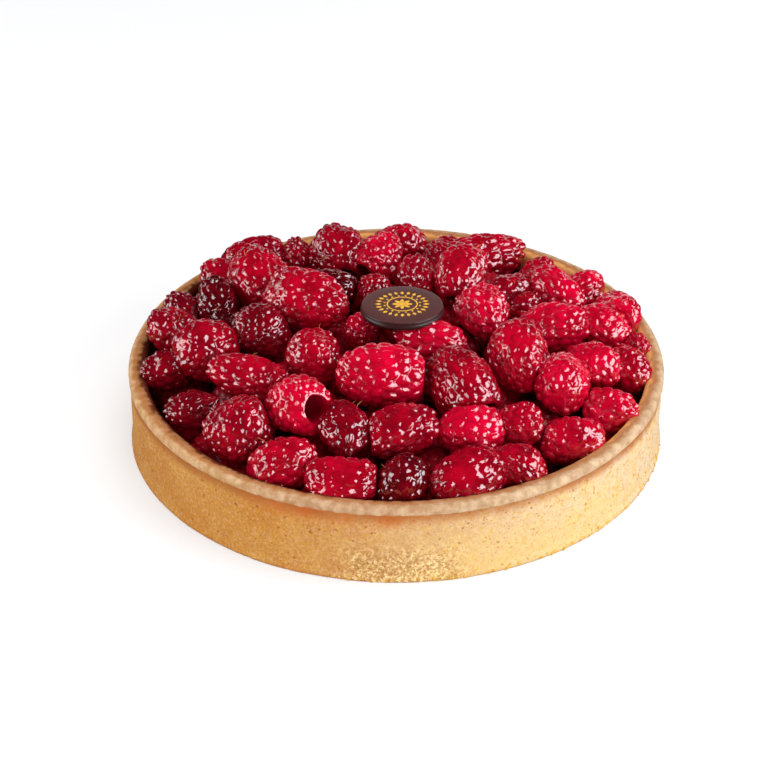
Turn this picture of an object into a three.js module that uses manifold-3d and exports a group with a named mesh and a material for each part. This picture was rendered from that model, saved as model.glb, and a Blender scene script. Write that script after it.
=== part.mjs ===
// Raspberry tart: a round shortcrust case, the bed of fruit in it, the raspberries heaped on that and a
// chocolate disc on top.
// Millimetres, +Z up. The origin is the middle of the underside of the case.
import * as THREE from 'three';
import { mergeVertices } from 'three/addons/utils/BufferGeometryUtils.js';
import Module from 'manifold-3d';

const wasm = await Module();
wasm.setup();

// Pastry case
const CASE_RADIUS = 89.5;
const CASE_HEIGHT = 28;
const WALL_THICKNESS = 5.5;
const FLOOR_THICKNESS = 5;
const LIP_PROUD = 0.5;
const LIP_HEIGHT = 3;
const OUTER_ROUND = 1.8;
const INNER_ROUND = 2.4;
const GROOVE_DEPTH = 0.4;
const GROOVE_WIDTH = 2;
const FOOT_ROUND = 0.8;
const FOOT_PROUD = 0.8;
const CASE_SEGMENTS = 80;

// Heap: the height of the berries' middles over the plate is HEAP_TOP - HEAP_FALL * radius^2
const HEAP_TOP = 38.5;
const HEAP_FALL = 0.0015;
const BED_DEPTH = 8.5;
const BED_SEGMENTS = 36;
const BED_RINGS = 4;

// Chocolate disc
const DISC_RADIUS = 14;
const DISC_THICKNESS = 3;
const DISC_EDGE_ROUND = 0.8;
const DISC_MIDDLE = new THREE.Vector3(2, 1, 45.5);
const DISC_TILT = -3;
const DISC_SEGMENTS = 32;

// Clearance kept between pieces that touch
const GAP = 0.3;

// Raspberry outline, as shares of the half width and of the length, from the bottom of the hollow to the tip
const BERRY_OUTLINE = [[0, -0.1], [0.6, -0.49], [1.02, -0.16], [0.96, 0.14], [0.62, 0.4], [0, 0.5]];
const BERRY_SEGMENTS = 8;
const BERRY_KNOBS = 0.03;
const WALL_CLEARANCE = 0.8;

// Each raspberry: bearing of its middle, distance from the axis, height over the heap's curve,
// heading and pitch of its tip, length and width (degrees and millimetres)
const RIM_BERRIES = [
  [-104, 76, -3.5, 175, 0, 24, 19],
  [-119, 75, -3, 210, 5, 22, 19],
  [-136, 72, -0.5, 200, -10, 23, 21],
  [-153, 76, -2, 190, 0, 18, 14],
  [-172, 79, -1.5, 200, 10, 16, 14],
  [-89, 75, -3.5, -90, 10, 19, 19],
  [-74, 76, -3, 205, 0, 27, 20],
  [-60, 77, -2.5, -30, 10, 18, 17],
  [-42, 77, -2.5, -20, 5, 20, 17],
  [-25, 78, -2.5, -10, 0, 19, 16],
  [-7, 79, -2, -60, 10, 17, 17],
  [5, 81, -3, 0, 60, 15, 12],
  [17, 80, -0.5, -70, 0, 22, 18],
  [33, 80, -1, 45, 40, 17, 16],
  [45, 73, -2.5, 60, 20, 18, 16],
  [63, 73.5, -1, 20, -2, 29, 19],
  [75, 77, -7, 90, 60, 17, 16],
  [88, 72, -1, 10, 10, 21, 18],
  [103, 77, -3, 90, 40, 18, 16],
  [120, 70, 0, 130, 60, 17, 15],
  [130, 77, 3, 30, 10, 24, 17],
  [144, 76, 1.4, 150, 30, 18, 16],
  [160, 79, 0, 160, 30, 16, 14],
  [172, 77, 1, 180, 20, 19, 17],
];
const OUTER_BERRIES = [
  [-128, 53, -0.5, 137, -26, 23, 21.5],
  [-107, 55, -2, 120, 10, 21, 18],
  [-87, 55, -0.5, 10, 5, 24, 19],
  [-67, 58, -1.5, 185, 0, 22, 17],
  [-51, 63, -1, -20, 20, 17, 16],
  [-28, 61, 1, -100, 0, 23, 20],
  [-12, 67, 0, -20, 10, 19, 18],
  [10, 73, 0, -45, 10, 19, 17],
  [29, 65, 1, -50, 0, 24, 17],
  [8, 55, 0, -20, 20, 22, 19],
  [30, 52, -3, 60, 40, 14, 13],
  [40, 52, -1, 20, 10, 17, 15],
  [76, 62, -2, 90, 40, 16, 14],
  [96, 56, 0.5, 60, 10, 19, 18],
  [109, 63, 1, 100, 10, 24, 23.5],
  [140.5, 62.5, 3, 120, 10, 27, 24.5],
  [157, 67, 1, 100, 30, 18, 17],
  [-174, 65, 1, -160, 10, 23, 22],
  [-154, 55, 0, 165, 5, 25, 18],
];
const INNER_BERRIES = [
  [-102, 32, 2, 190, 5, 27, 23],
  [-58, 37, 0.5, 120, 20, 29, 23],
  [-25, 45, 1, -75, -20, 25, 21],
  [16, 31, 1, -70, -20, 19, 18],
  [59, 44, 3, 80, 30, 21, 20],
  [80, 40, 0, 100, 20, 17, 15],
  [104, 30, -1, 100, 30, 14, 13],
  [126, 39, 0, 170, 0, 17, 14],
  [154, 32, 2.5, -30, 5, 29, 23],
  [178, 47, 1, -160, 20, 19, 19],
  [-150, 32, -0.5, -90, 30, 21, 20],
  [-34, 16, 0, -10, 0, 22, 16],
  [160, 12, -4, -100, 30, 15, 14],
  [75, 10, -3, 90, 60, 18, 17],
];

const CRUST = { color: 0xdcae6c, roughness: 0.85, metalness: 0 };
const FRUIT = { color: 0xb00a2c, roughness: 0.25, metalness: 0 };
const BED = { color: 0x5a0512, roughness: 0.4, metalness: 0 };
const CHOCOLATE = { color: 0x4a2e2c, roughness: 0.45, metalness: 0 };

/** Height of the berries' middles at a distance from the axis. */
function heapHeight(radius) {
  return HEAP_TOP - HEAP_FALL * radius * radius;
}

/** Unit vector of a heading in plan and a pitch above the level, both in degrees. */
function direction(heading, pitch) {
  const flat = Math.cos(THREE.MathUtils.degToRad(pitch));
  const turn = THREE.MathUtils.degToRad(heading);
  return new THREE.Vector3(
    flat * Math.cos(turn),
    flat * Math.sin(turn),
    Math.sin(THREE.MathUtils.degToRad(pitch)),
  );
}

/** Points of a quarter circle about (x, z), from one angle to another in degrees. */
function quarter(x, z, radius, from, to, steps) {
  const points = [];
  for (let step = 0; step <= steps; step += 1) {
    const angle = THREE.MathUtils.degToRad(from + ((to - from) * step) / steps);
    points.push([x + radius * Math.cos(angle), z + radius * Math.sin(angle)]);
  }
  return points;
}

/** Closed body turned about the Z axis from an outline of [radius, height] points, lowest first. */
function turned(outline, segments) {
  const points = outline.map(([radius, height]) => new THREE.Vector2(Math.max(radius, 0), height));
  const geometry = new THREE.LatheGeometry(points, segments);
  geometry.rotateX(Math.PI / 2);
  return closed(geometry);
}

/** Merges a geometry's shared corners and drops the triangles that the poles leave without area. */
function closed(geometry) {
  geometry.deleteAttribute('normal');
  geometry.deleteAttribute('uv');
  const merged = mergeVertices(geometry, 1e-4);
  const corners = merged.index.array;
  const kept = [];
  for (let at = 0; at < corners.length; at += 3) {
    const [a, b, c] = corners.slice(at, at + 3);
    if (a !== b && b !== c && c !== a) {
      kept.push(a, b, c);
    }
  }
  merged.setIndex(kept);
  return merged;
}

/** A closed geometry as a solid that can be cut. */
function toSolid(geometry) {
  return new wasm.Manifold(new wasm.Mesh({
    numProp: 3,
    vertProperties: new Float32Array(geometry.getAttribute('position').array),
    triVerts: new Uint32Array(geometry.index.array),
  }));
}

/** A cut solid as a geometry again. */
function toGeometry(solid) {
  const mesh = solid.getMesh();
  const geometry = new THREE.BufferGeometry();
  geometry.setAttribute('position', new THREE.BufferAttribute(new Float32Array(mesh.vertProperties), 3));
  geometry.setIndex(Array.from(mesh.triVerts));
  geometry.computeVertexNormals();
  return geometry;
}

/** A large block whose one face lies on a plane, on the side that the normal points to. */
function blockBeyond(point, normal) {
  const size = 100;
  const geometry = new THREE.BoxGeometry(size, size, size);
  geometry.translate(0, 0, size / 2);
  geometry.applyQuaternion(new THREE.Quaternion().setFromUnitVectors(new THREE.Vector3(0, 0, 1), normal));
  geometry.translate(point.x, point.y, point.z);
  return toSolid(closed(geometry));
}

/** Outline of the pastry case: foot, wall, groove under the lip, round rim, inner wall and floor. */
function caseOutline() {
  const inner = CASE_RADIUS - WALL_THICKNESS;
  const lip = CASE_RADIUS + LIP_PROUD;
  return [
    [0, 0],
    ...quarter(CASE_RADIUS + FOOT_PROUD - FOOT_ROUND, FOOT_ROUND, FOOT_ROUND, -90, 0, 2),
    [CASE_RADIUS, CASE_HEIGHT - LIP_HEIGHT - GROOVE_WIDTH],
    [CASE_RADIUS - GROOVE_DEPTH, CASE_HEIGHT - LIP_HEIGHT],
    ...quarter(lip - OUTER_ROUND, CASE_HEIGHT - OUTER_ROUND, OUTER_ROUND, -20, 90, 3),
    ...quarter(inner + INNER_ROUND, CASE_HEIGHT - INNER_ROUND, INNER_ROUND, 90, 180, 3),
    [inner, FLOOR_THICKNESS],
    [0, FLOOR_THICKNESS],
  ];
}

/** Outline of the bed under the berries: flat below, with the heap's curve above. */
function bedOutline() {
  const edge = CASE_RADIUS - WALL_THICKNESS - GAP;
  const outline = [[0, FLOOR_THICKNESS + GAP], [edge, FLOOR_THICKNESS + GAP]];
  for (let ring = BED_RINGS; ring >= 0; ring -= 1) {
    const radius = (edge * ring) / BED_RINGS;
    outline.push([radius, heapHeight(radius) - BED_DEPTH]);
  }
  return outline;
}

/** Outline of the chocolate disc, its middle at the origin. */
function discOutline(grow = 0) {
  const radius = DISC_RADIUS + grow;
  const half = DISC_THICKNESS / 2 + grow;
  return [
    [0, -half],
    ...quarter(radius - DISC_EDGE_ROUND, DISC_EDGE_ROUND - half, DISC_EDGE_ROUND, -90, 0, 2),
    ...quarter(radius - DISC_EDGE_ROUND, half - DISC_EDGE_ROUND, DISC_EDGE_ROUND, 0, 90, 2),
    [0, half],
  ];
}

/** The chocolate disc where it lies, leaning back a little. */
function discGeometry(grow = 0) {
  const geometry = turned(discOutline(grow), DISC_SEGMENTS);
  geometry.rotateX(THREE.MathUtils.degToRad(DISC_TILT));
  geometry.translate(DISC_MIDDLE.x, DISC_MIDDLE.y, DISC_MIDDLE.z);
  return geometry;
}

/** One raspberry from its row: its place, its axis, its sizes and its uncut solid. */
function raspberry([bearing, radius, lift, heading, pitch, length, width]) {
  const middle = direction(bearing, 0).multiplyScalar(radius);
  middle.z = heapHeight(radius) + lift;
  const axis = direction(heading, pitch);
  const geometry = turned(
    BERRY_OUTLINE.map(([side, along]) => [(side * width) / 2, along * length]),
    BERRY_SEGMENTS,
  );
  knob(geometry);
  geometry.applyQuaternion(new THREE.Quaternion().setFromUnitVectors(new THREE.Vector3(0, 0, 1), axis));
  geometry.translate(middle.x, middle.y, middle.z);
  return { middle, axis, length, width, solid: toSolid(geometry) };
}

/** Swells and sinks a raspberry's corners in turn, for its lumpy skin. */
function knob(geometry) {
  const position = geometry.getAttribute('position');
  for (let at = 0; at < position.count; at += 1) {
    const swell = 1 + BERRY_KNOBS * (at % 2 === 0 ? 1 : -1);
    position.setXY(at, position.getX(at) * swell, position.getY(at) * swell);
  }
}

/** Distance from a raspberry's middle to its skin along a direction. */
function reach(berry, towards) {
  const along = towards.dot(berry.axis) ** 2;
  return 1 / Math.sqrt((4 * along) / berry.length ** 2 + (4 * (1 - along)) / berry.width ** 2);
}

/** Presses two raspberries flat against each other where they would run into one another. */
function press(one, other) {
  if (one.solid.intersect(other.solid).isEmpty()) {
    return;
  }
  const towards = other.middle.clone().sub(one.middle);
  const distance = towards.length();
  towards.normalize();
  const near = reach(one, towards);
  const far = reach(other, towards);
  const split = (distance * near) / (near + far);
  const back = towards.clone().negate();
  const edgeOfOne = one.middle.clone().addScaledVector(towards, split - GAP / 2);
  const edgeOfOther = one.middle.clone().addScaledVector(towards, split + GAP / 2);
  one.solid = one.solid.subtract(blockBeyond(edgeOfOne, towards));
  other.solid = other.solid.subtract(blockBeyond(edgeOfOther, back));
}

/** Sits a raspberry on the bed and against the wall. */
function seat(berry) {
  const outward = new THREE.Vector3(berry.middle.x, berry.middle.y, 0);
  const radius = outward.length();
  outward.normalize();
  const slope = -2 * HEAP_FALL * radius;
  const down = new THREE.Vector3(slope * outward.x, slope * outward.y, -1).normalize();
  const onBed = outward.clone().multiplyScalar(radius);
  onBed.z = heapHeight(radius) - BED_DEPTH + GAP;
  const onWall = outward.clone().multiplyScalar(CASE_RADIUS - WALL_THICKNESS - WALL_CLEARANCE);
  berry.solid = berry.solid.subtract(blockBeyond(onBed, down)).subtract(blockBeyond(onWall, outward));
}

/** All raspberries, pressed against each other, seated, and hollowed where the disc lies on them. */
function raspberries() {
  const berries = [...RIM_BERRIES, ...OUTER_BERRIES, ...INNER_BERRIES].map(raspberry);
  berries.forEach((one, index) => {
    berries.slice(index + 1).forEach((other) => press(one, other));
  });
  const disc = toSolid(discGeometry(GAP));
  berries.forEach((berry) => {
    seat(berry);
    berry.solid = berry.solid.subtract(disc);
  });
  return berries.map((berry) => toGeometry(berry.solid));
}

/** Adds one named piece to the tart. */
function addPiece(tart, name, geometry, finish) {
  const piece = new THREE.Mesh(geometry, new THREE.MeshStandardMaterial(finish));
  piece.name = name;
  tart.add(piece);
}

const tart = new THREE.Group();
addPiece(tart, 'pastry_case', turned(caseOutline(), CASE_SEGMENTS), CRUST);
addPiece(tart, 'fruit_bed', turned(bedOutline(), BED_SEGMENTS), BED);
raspberries().forEach((geometry, index) => {
  addPiece(tart, `raspberry_${String(index + 1).padStart(2, '0')}`, geometry, FRUIT);
});
addPiece(tart, 'chocolate_disc', discGeometry(), CHOCOLATE);

export default tart;
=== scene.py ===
"""Looks of a raspberry tart: shortcrust case, heaped glazed raspberries, chocolate disc with gold.

Every size is in metres, built up from millimetres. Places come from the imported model's own nodes.
"""

import logging
import math
import random
from dataclasses import dataclass, field
from enum import Enum

import bmesh
import bpy
import numpy as np
from mathutils import Matrix, Vector

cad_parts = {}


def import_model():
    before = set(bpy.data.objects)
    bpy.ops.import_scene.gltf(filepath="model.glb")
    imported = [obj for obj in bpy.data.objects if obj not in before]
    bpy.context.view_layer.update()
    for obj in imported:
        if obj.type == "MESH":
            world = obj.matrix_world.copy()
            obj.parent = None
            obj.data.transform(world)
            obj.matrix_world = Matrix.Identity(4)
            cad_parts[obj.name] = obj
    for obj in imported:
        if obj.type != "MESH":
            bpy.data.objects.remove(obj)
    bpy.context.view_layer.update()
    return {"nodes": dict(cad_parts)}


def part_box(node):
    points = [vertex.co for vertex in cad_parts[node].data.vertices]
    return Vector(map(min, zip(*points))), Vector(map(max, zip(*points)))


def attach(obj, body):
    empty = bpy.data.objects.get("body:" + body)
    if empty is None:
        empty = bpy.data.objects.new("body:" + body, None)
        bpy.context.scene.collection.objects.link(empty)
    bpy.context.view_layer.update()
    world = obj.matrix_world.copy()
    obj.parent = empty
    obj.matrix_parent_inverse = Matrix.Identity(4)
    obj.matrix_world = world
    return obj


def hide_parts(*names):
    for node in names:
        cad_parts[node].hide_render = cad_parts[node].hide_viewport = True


MM = 0.001
BODY = "root"
FULL_TURN = 2 * math.pi
UP = Vector((0.0, 0.0, 1.0))
log = logging.getLogger("raspberry_tart")

Colour = tuple[float, float, float]
Outline = list[tuple[float, float]]
Piece = bpy.types.Object
Socket = bpy.types.NodeSocket


# ---------------------------------------------------------------- modelling helpers


def deselect_all() -> None:
    """Empty object mode's selection, so that the next operator acts on its own piece alone."""
    if bpy.context.object and bpy.context.object.mode != "OBJECT":
        bpy.ops.object.mode_set(mode="OBJECT")
    bpy.ops.object.select_all(action="DESELECT")


def make_active(piece: Piece) -> None:
    """Select one piece alone and make it the active object.

    Args:
        piece: The object that the next operators act on.
    """
    deselect_all()
    piece.select_set(True)
    bpy.context.view_layer.objects.active = piece


def edit_whole(piece: Piece) -> None:
    """Open a piece in edit mode with all of it selected.

    Args:
        piece: The object.
    """
    make_active(piece)
    bpy.ops.object.mode_set(mode="EDIT")
    bpy.ops.mesh.select_all(action="SELECT")


def turn_outwards() -> None:
    """Point all faces of the edited piece outwards and leave edit mode."""
    bpy.ops.mesh.select_all(action="SELECT")
    bpy.ops.mesh.normals_make_consistent(inside=False)
    bpy.ops.object.mode_set(mode="OBJECT")


def draw_rings(outline: Outline) -> None:
    """Extrude the selected ring along a section, one ring for each of its points.

    Args:
        outline: Pairs of radius and height, of which the first is the selected ring's own.
    """
    radius, height = outline[0]
    for next_radius, next_height in outline[1:]:
        lift = {"value": (0.0, 0.0, next_height - height)}
        bpy.ops.mesh.extrude_region_move(TRANSFORM_OT_translate=lift)
        grow = next_radius / radius
        bpy.ops.transform.resize(value=(grow, grow, 1.0), center_override=(0.0, 0.0, next_height))
        radius, height = next_radius, next_height


def name_piece(name: str) -> Piece:
    """Name the active object and its mesh alike.

    Args:
        name: The name of both.

    Returns:
        The object.
    """
    piece = bpy.context.object
    piece.name = name
    piece.data.name = name
    return piece


def apply_modifiers(piece: Piece) -> None:
    """Apply all modifiers of a piece, from the first to the last.

    Args:
        piece: The object whose modifiers become part of its mesh.
    """
    make_active(piece)
    for modifier in list(piece.modifiers):
        bpy.ops.object.modifier_apply(modifier=modifier.name)


def apply_place(piece: Piece) -> None:
    """Move a piece's place, turn and scale into its mesh, which puts the object at the origin."""
    make_active(piece)
    bpy.ops.object.transform_apply(location=True, rotation=True, scale=True)


def smooth_surface(piece: Piece) -> None:
    """Divide a piece's surface once and round it.

    Args:
        piece: The object.
    """
    modifier = piece.modifiers.new("smooth", "SUBSURF")
    modifier.levels = 1
    modifier.render_levels = 1
    apply_modifiers(piece)


def add_relief(piece: Piece, feature: float, height: float, depth: int) -> None:
    """Add a Displace modifier that roughens a piece with soft clouds.

    Args:
        piece: The object.
        feature: Size of the clouds' features.
        height: Full height of the relief, half of it inwards.
        depth: How many finer octaves the clouds hold.
    """
    clouds = bpy.data.textures.new(f"{piece.name}_clouds", "CLOUDS")
    clouds.noise_scale = feature
    clouds.noise_depth = depth
    modifier = piece.modifiers.new("relief", "DISPLACE")
    modifier.texture = clouds
    modifier.texture_coords = "LOCAL"
    modifier.strength = height
    modifier.mid_level = 0.5


def join_pieces(pieces: list[Piece], name: str) -> Piece:
    """Join several objects into one.

    Args:
        pieces: The objects, of which the first keeps its materials.
        name: Name of the joined object.

    Returns:
        The joined object.
    """
    deselect_all()
    for piece in pieces:
        piece.select_set(True)
    bpy.context.view_layer.objects.active = pieces[0]
    bpy.ops.object.join()
    return name_piece(name)


def points_of(piece: Piece) -> np.ndarray:
    """Read the places of a mesh object's vertices.

    Args:
        piece: The object.

    Returns:
        One row of x, y, z for each vertex.
    """
    flat = np.empty(len(piece.data.vertices) * 3, np.float32)
    piece.data.vertices.foreach_get("co", flat)
    return flat.reshape(-1, 3).astype(float)


def move_points(piece: Piece, points: np.ndarray) -> None:
    """Set the places of a mesh object's vertices.

    Args:
        piece: The object.
        points: One row of x, y, z for each vertex.
    """
    piece.data.vertices.foreach_set("co", np.ascontiguousarray(points, np.float32).ravel())
    piece.data.update()


def copy_piece(pattern: Piece, name: str, points: np.ndarray) -> Piece:
    """Copy an object with a mesh of its own and move that mesh's vertices.

    Args:
        pattern: The object to copy.
        name: Name of the copy.
        points: Places of the copy's vertices, one row each.

    Returns:
        The copy, linked to the scene.
    """
    copy = bpy.data.objects.new(name, pattern.data.copy())
    copy.data.name = name
    move_points(copy, points)
    bpy.context.scene.collection.objects.link(copy)
    return copy


def turn_about(axis: str, angle: float) -> Matrix:
    """Make the turn by an angle about X, Y or Z."""
    return Matrix.Rotation(angle, 3, axis)


def hand_in(piece: Piece, finish: bpy.types.Material, slot: str, *nodes: str) -> None:
    """Give a finished piece its finish and body, and hide the CAD nodes that it replaces.

    Args:
        piece: The finished object.
        finish: Its material.
        slot: Not used.
        nodes: Names of the CAD nodes that the piece replaces.
    """
    piece.data.materials.append(finish)
    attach(piece, BODY)
    if nodes:
        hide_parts(*nodes)
    log.info("%s: %d faces", piece.name, len(piece.data.polygons))


# ---------------------------------------------------------------- material helper


class FinishTree:
    """The node tree of one finish, with short calls that add its nodes."""

    def __init__(self, name: str) -> None:
        """Start a material with a Principled shader and Object coordinates.

        Args:
            name: Name of the material.
        """
        self.material = bpy.data.materials.new(name)
        self.material.use_nodes = True
        self.tree = self.material.node_tree
        self.shader = self.tree.nodes["Principled BSDF"]
        self.place = self.tree.nodes.new("ShaderNodeTexCoord").outputs["Object"]

    def set(self, **values: object) -> None:
        """Set sockets of the shader; an underscore in a name stands for a space.

        Args:
            values: A number, a colour or an output socket for each input.
        """
        for name, value in values.items():
            self.feed(self.shader.inputs[name.replace("_", " ")], value)

    def feed(self, socket: Socket, value: object) -> None:
        """Give one input a value, or link an output to it.

        Args:
            socket: The input.
            value: A number, a colour of three parts, a vector or an output socket.
        """
        if isinstance(value, Socket):
            self.tree.links.new(value, socket)
        elif isinstance(value, tuple) and len(socket.default_value) == 4:
            socket.default_value = (*value, 1.0)
        else:
            socket.default_value = value

    def add(self, kind: str, inputs: dict[object, object], **settings: object) -> bpy.types.Node:
        """Add a node.

        Args:
            kind: The node's type, without the word that all shader nodes begin with.
            inputs: A value or an output socket for each input, by name or number.
            settings: The node's own properties.

        Returns:
            The node.
        """
        node = self.tree.nodes.new(f"ShaderNode{kind}")
        for name, value in settings.items():
            setattr(node, name, value)
        for name, value in inputs.items():
            self.feed(node.inputs[name], value)
        return node

    def noise(
        self, feature: float, detail: float = 3.0, warp: float = 0.0, output: str = "Fac"
    ) -> Socket:
        """Add a noise over Object coordinates.

        Args:
            feature: Size of its features.
            detail: How many finer octaves it holds.
            warp: How far it is distorted.
            output: The node's output, Fac or Color.

        Returns:
            That output.
        """
        inputs = {"Vector": self.place, "Scale": 1 / feature, "Detail": detail, "Distortion": warp}
        return self.add("TexNoise", inputs).outputs[output]

    def patches(
        self, feature: float, detail: float, start: float, end: float, warp: float = 0.0
    ) -> Socket:
        """Make soft patches of a noise.

        Args:
            feature: Size of the noise's features.
            detail: How many finer octaves it holds.
            start: Value of the noise at which a patch begins.
            end: Value at which it is full.
            warp: How far the noise is distorted.

        Returns:
            1 in a patch, 0 between them.
        """
        return self.step(self.noise(feature, detail, warp), start, end)

    def cells(
        self, spacing: float, place: Socket | None = None, output: str = "Distance"
    ) -> Socket:
        """Add a Voronoi pattern.

        Args:
            spacing: Distance between neighbouring cells.
            place: The coordinates that it reads, which are Object's where none are given.
            output: The node's output, such as Distance or Color.

        Returns:
            That output.
        """
        inputs = {"Vector": place or self.place, "Scale": 1 / spacing}
        return self.add("TexVoronoi", inputs).outputs[output]

    def vector(self, operation: str, first: object, second: object = (0.0, 0.0, 0.0)) -> Socket:
        """Combine two vectors by a Vector Math node's operation."""
        return self.add("VectorMath", {0: first, 1: second}, operation=operation).outputs[0]

    def facets(self, spacing: float, tilt: float) -> Socket:
        """Lean the surface at random in small ragged patches, so that it glints in shards.

        Args:
            spacing: Distance between neighbouring patches.
            tilt: How far a patch may lean, as a share of its normal.

        Returns:
            The leaning normal.
        """
        ragged = self.vector("MULTIPLY", self.noise(spacing, 2.0, output="Color"), (spacing,) * 3)
        lean = self.cells(spacing, self.vector("ADD", self.place, ragged), "Color")
        lean = self.vector("SUBTRACT", lean, (0.5, 0.5, 0.5))
        lean = self.vector("MULTIPLY", lean, (2 * tilt,) * 3)
        return self.vector("NORMALIZE", self.vector("ADD", self.normal(), lean))

    def normal(self) -> Socket:
        """Read the surface's normal."""
        return self.add("NewGeometry", {}).outputs["Normal"]

    def attribute(self, name: str) -> Socket:
        """Read a number that the mesh carries under a name."""
        return self.add("Attribute", {}, attribute_name=name).outputs["Fac"]

    def axis(self, name: str, vector: Socket | None = None) -> Socket:
        """Read X, Y or Z of a vector, which is the Object coordinates where none is given."""
        return self.add("SeparateXYZ", {0: vector or self.place}).outputs[name]

    def radius(self) -> Socket:
        """Measure the distance from the tart's axis in metres."""
        flat = self.vector("MULTIPLY", self.place, (1.0, 1.0, 0.0))
        return self.add("VectorMath", {0: flat}, operation="LENGTH").outputs["Value"]

    def step(self, value: Socket, start: float, end: float) -> Socket:
        """Turn a value into a smooth step.

        Args:
            value: The value to look at.
            start: Where the step leaves 0.
            end: Where it reaches 1, which may be below the start.

        Returns:
            The step, from 0 to 1.
        """
        inputs = {"Value": value, 1: start, 2: end}
        return self.add("MapRange", inputs, interpolation_type="SMOOTHSTEP").outputs[0]

    def maths(self, operation: str, first: object, second: object) -> Socket:
        """Combine two numbers by a Math node's operation."""
        return self.add("Math", {0: first, 1: second}, operation=operation).outputs[0]

    def times(self, first: object, second: object) -> Socket:
        """Multiply two numbers."""
        return self.maths("MULTIPLY", first, second)

    def plus(self, first: object, second: object) -> Socket:
        """Add two numbers."""
        return self.maths("ADD", first, second)

    def blend(self, share: object, under: object, over: object) -> Socket:
        """Mix two colours.

        Args:
            share: How much of the second colour shows.
            under: First colour or socket.
            over: Second colour or socket.

        Returns:
            The mixed colour.
        """
        return self.add("Mix", {"Factor": share, 6: under, 7: over}, data_type="RGBA").outputs[2]

    def tint(self, tone: Socket, colour: object, mask: Socket, share: float) -> Socket:
        """Lay a colour over a tone where a mask says so.

        Args:
            tone: The tone below.
            colour: The colour that is laid over it.
            mask: Where it lies, from 0 to 1.
            share: How much of it shows where the mask is 1.

        Returns:
            The tinted tone.
        """
        return self.blend(self.times(mask, share), tone, colour)

    def bump(self, height: object, depth: float, below: object = None) -> Socket:
        """Add a bump.

        Args:
            height: The height pattern.
            depth: Height in metres where the pattern is 1.
            below: The normal of a bump that this one lies on.

        Returns:
            The bumped normal.
        """
        inputs = {"Height": height, "Distance": depth, "Strength": 1.0}
        if below is not None:
            inputs["Normal"] = below
        return self.add("Bump", inputs).outputs["Normal"]


# ---------------------------------------------------------------- finishes


@dataclass(frozen=True)
class GlazedFruit:
    """Raspberry flesh under a clear wet glaze."""

    name: str
    flesh: Colour
    deep: Colour
    # The pinkish seam colour and its share are a painted sheen along the seams.
    seam_sheen: Colour
    # The hollow colour is painted shade inside the berry's hollow.
    hollow: Colour = (0.20, 0.0006, 0.010)
    seam_sheen_share: float = 0.3

    def material(self) -> bpy.types.Material:
        """Mix the flesh from drupelet to drupelet, with painted shade in the seams and the hollow
        and a painted pink sheen along the seams, and lay an uneven glaze over it.

        Returns:
            The material.
        """
        tree = FinishTree(self.name)
        tone = tree.blend(tree.patches(6 * MM, 2.0, 0.35, 0.65), self.deep, self.flesh)
        tone = tree.tint(tone, self.deep, tree.step(tree.attribute("tone"), 0.0, 1.0), 0.45)
        # Painted shade: the flesh turns towards the deep colour in the seams between drupelets.
        seams = tree.step(tree.attribute("height"), 0.42, 0.05)
        tone = tree.tint(tone, self.deep, seams, 0.45)
        # Painted sheen: a pinkish reflection colour laid in patches along the seams.
        hazy = tree.times(seams, tree.patches(5 * MM, 2.0, 0.45, 0.7))
        tone = tree.tint(tone, self.seam_sheen, hazy, self.seam_sheen_share)
        # Painted shade: the inside of the hollow turns a dark red.
        hollow = tree.step(tree.attribute("skin"), 0.88, 0.66)
        tone = tree.tint(tone, self.hollow, hollow, 0.9)
        wet = tree.maths("SUBTRACT", 1.0, tree.times(hollow, 0.8))
        film = tree.bump(tree.noise(2.4 * MM, 2.0, 0.5), 0.32 * MM, tree.facets(2.6 * MM, 0.20))
        skin = tree.bump(tree.noise(1.2 * MM, 1.0), 0.1 * MM)
        tree.set(Base_Color=tone, Roughness=0.5, Normal=skin, Coat_Normal=film, Coat_Weight=wet)
        tree.set(Coat_Roughness=0.04, Coat_IOR=2.2, Specular_IOR_Level=0.0)
        tree.set(Subsurface_Weight=0.2, Subsurface_Scale=1.2 * MM)
        tree.set(Subsurface_Radius=(1.0, 0.05, 0.1))
        return tree.material


class RipenessAndShading(Enum):
    """How light and how hazy a raspberry is: partly its ripeness, partly painted light on lit
    berries and painted shade on berries that lie in shade.
    """

    BRIGHT = GlazedFruit(
        "bright_raspberry", (0.56, 0.0008, 0.026), (0.36, 0.0006, 0.014), (0.6, 0.05, 0.09)
    )
    RIPE = GlazedFruit(
        "ripe_raspberry", (0.42, 0.0005, 0.016), (0.25, 0.0004, 0.008), (0.5, 0.03, 0.06)
    )
    DEEP = GlazedFruit(
        "deep_raspberry", (0.33, 0.0004, 0.011), (0.18, 0.0003, 0.006), (0.38, 0.02, 0.04)
    )
    # Painted shade: the grade for berries that lie in shade.
    SHADE_DIMMED = GlazedFruit(
        "shade_dimmed_raspberry", (0.21, 0.0003, 0.007), (0.11, 0.0003, 0.004), (0.27, 0.015, 0.03)
    )
    DARK = GlazedFruit(
        "dark_raspberry", (0.14, 0.0003, 0.004), (0.06, 0.0002, 0.002), (0.2, 0.01, 0.02)
    )


# Each berry's grade is partly its ripeness and partly painted shading: the dimmer grades stand for
# berries in shade, the brightest for berries in the lamps' light.
RIPENESS_AND_SHADING_OF = {
    RipenessAndShading.BRIGHT: (10, 13, 14, 25, 28, 30, 31, 32, 33, 34, 38, 44, 47, 55, 56),
    RipenessAndShading.DEEP: (3, 7, 8, 20, 21, 24, 27, 35, 36, 37, 39, 42, 45, 49, 50),
    RipenessAndShading.SHADE_DIMMED: (4, 5, 23, 26, 53),
    RipenessAndShading.DARK: (6, 41, 51),
}


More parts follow.
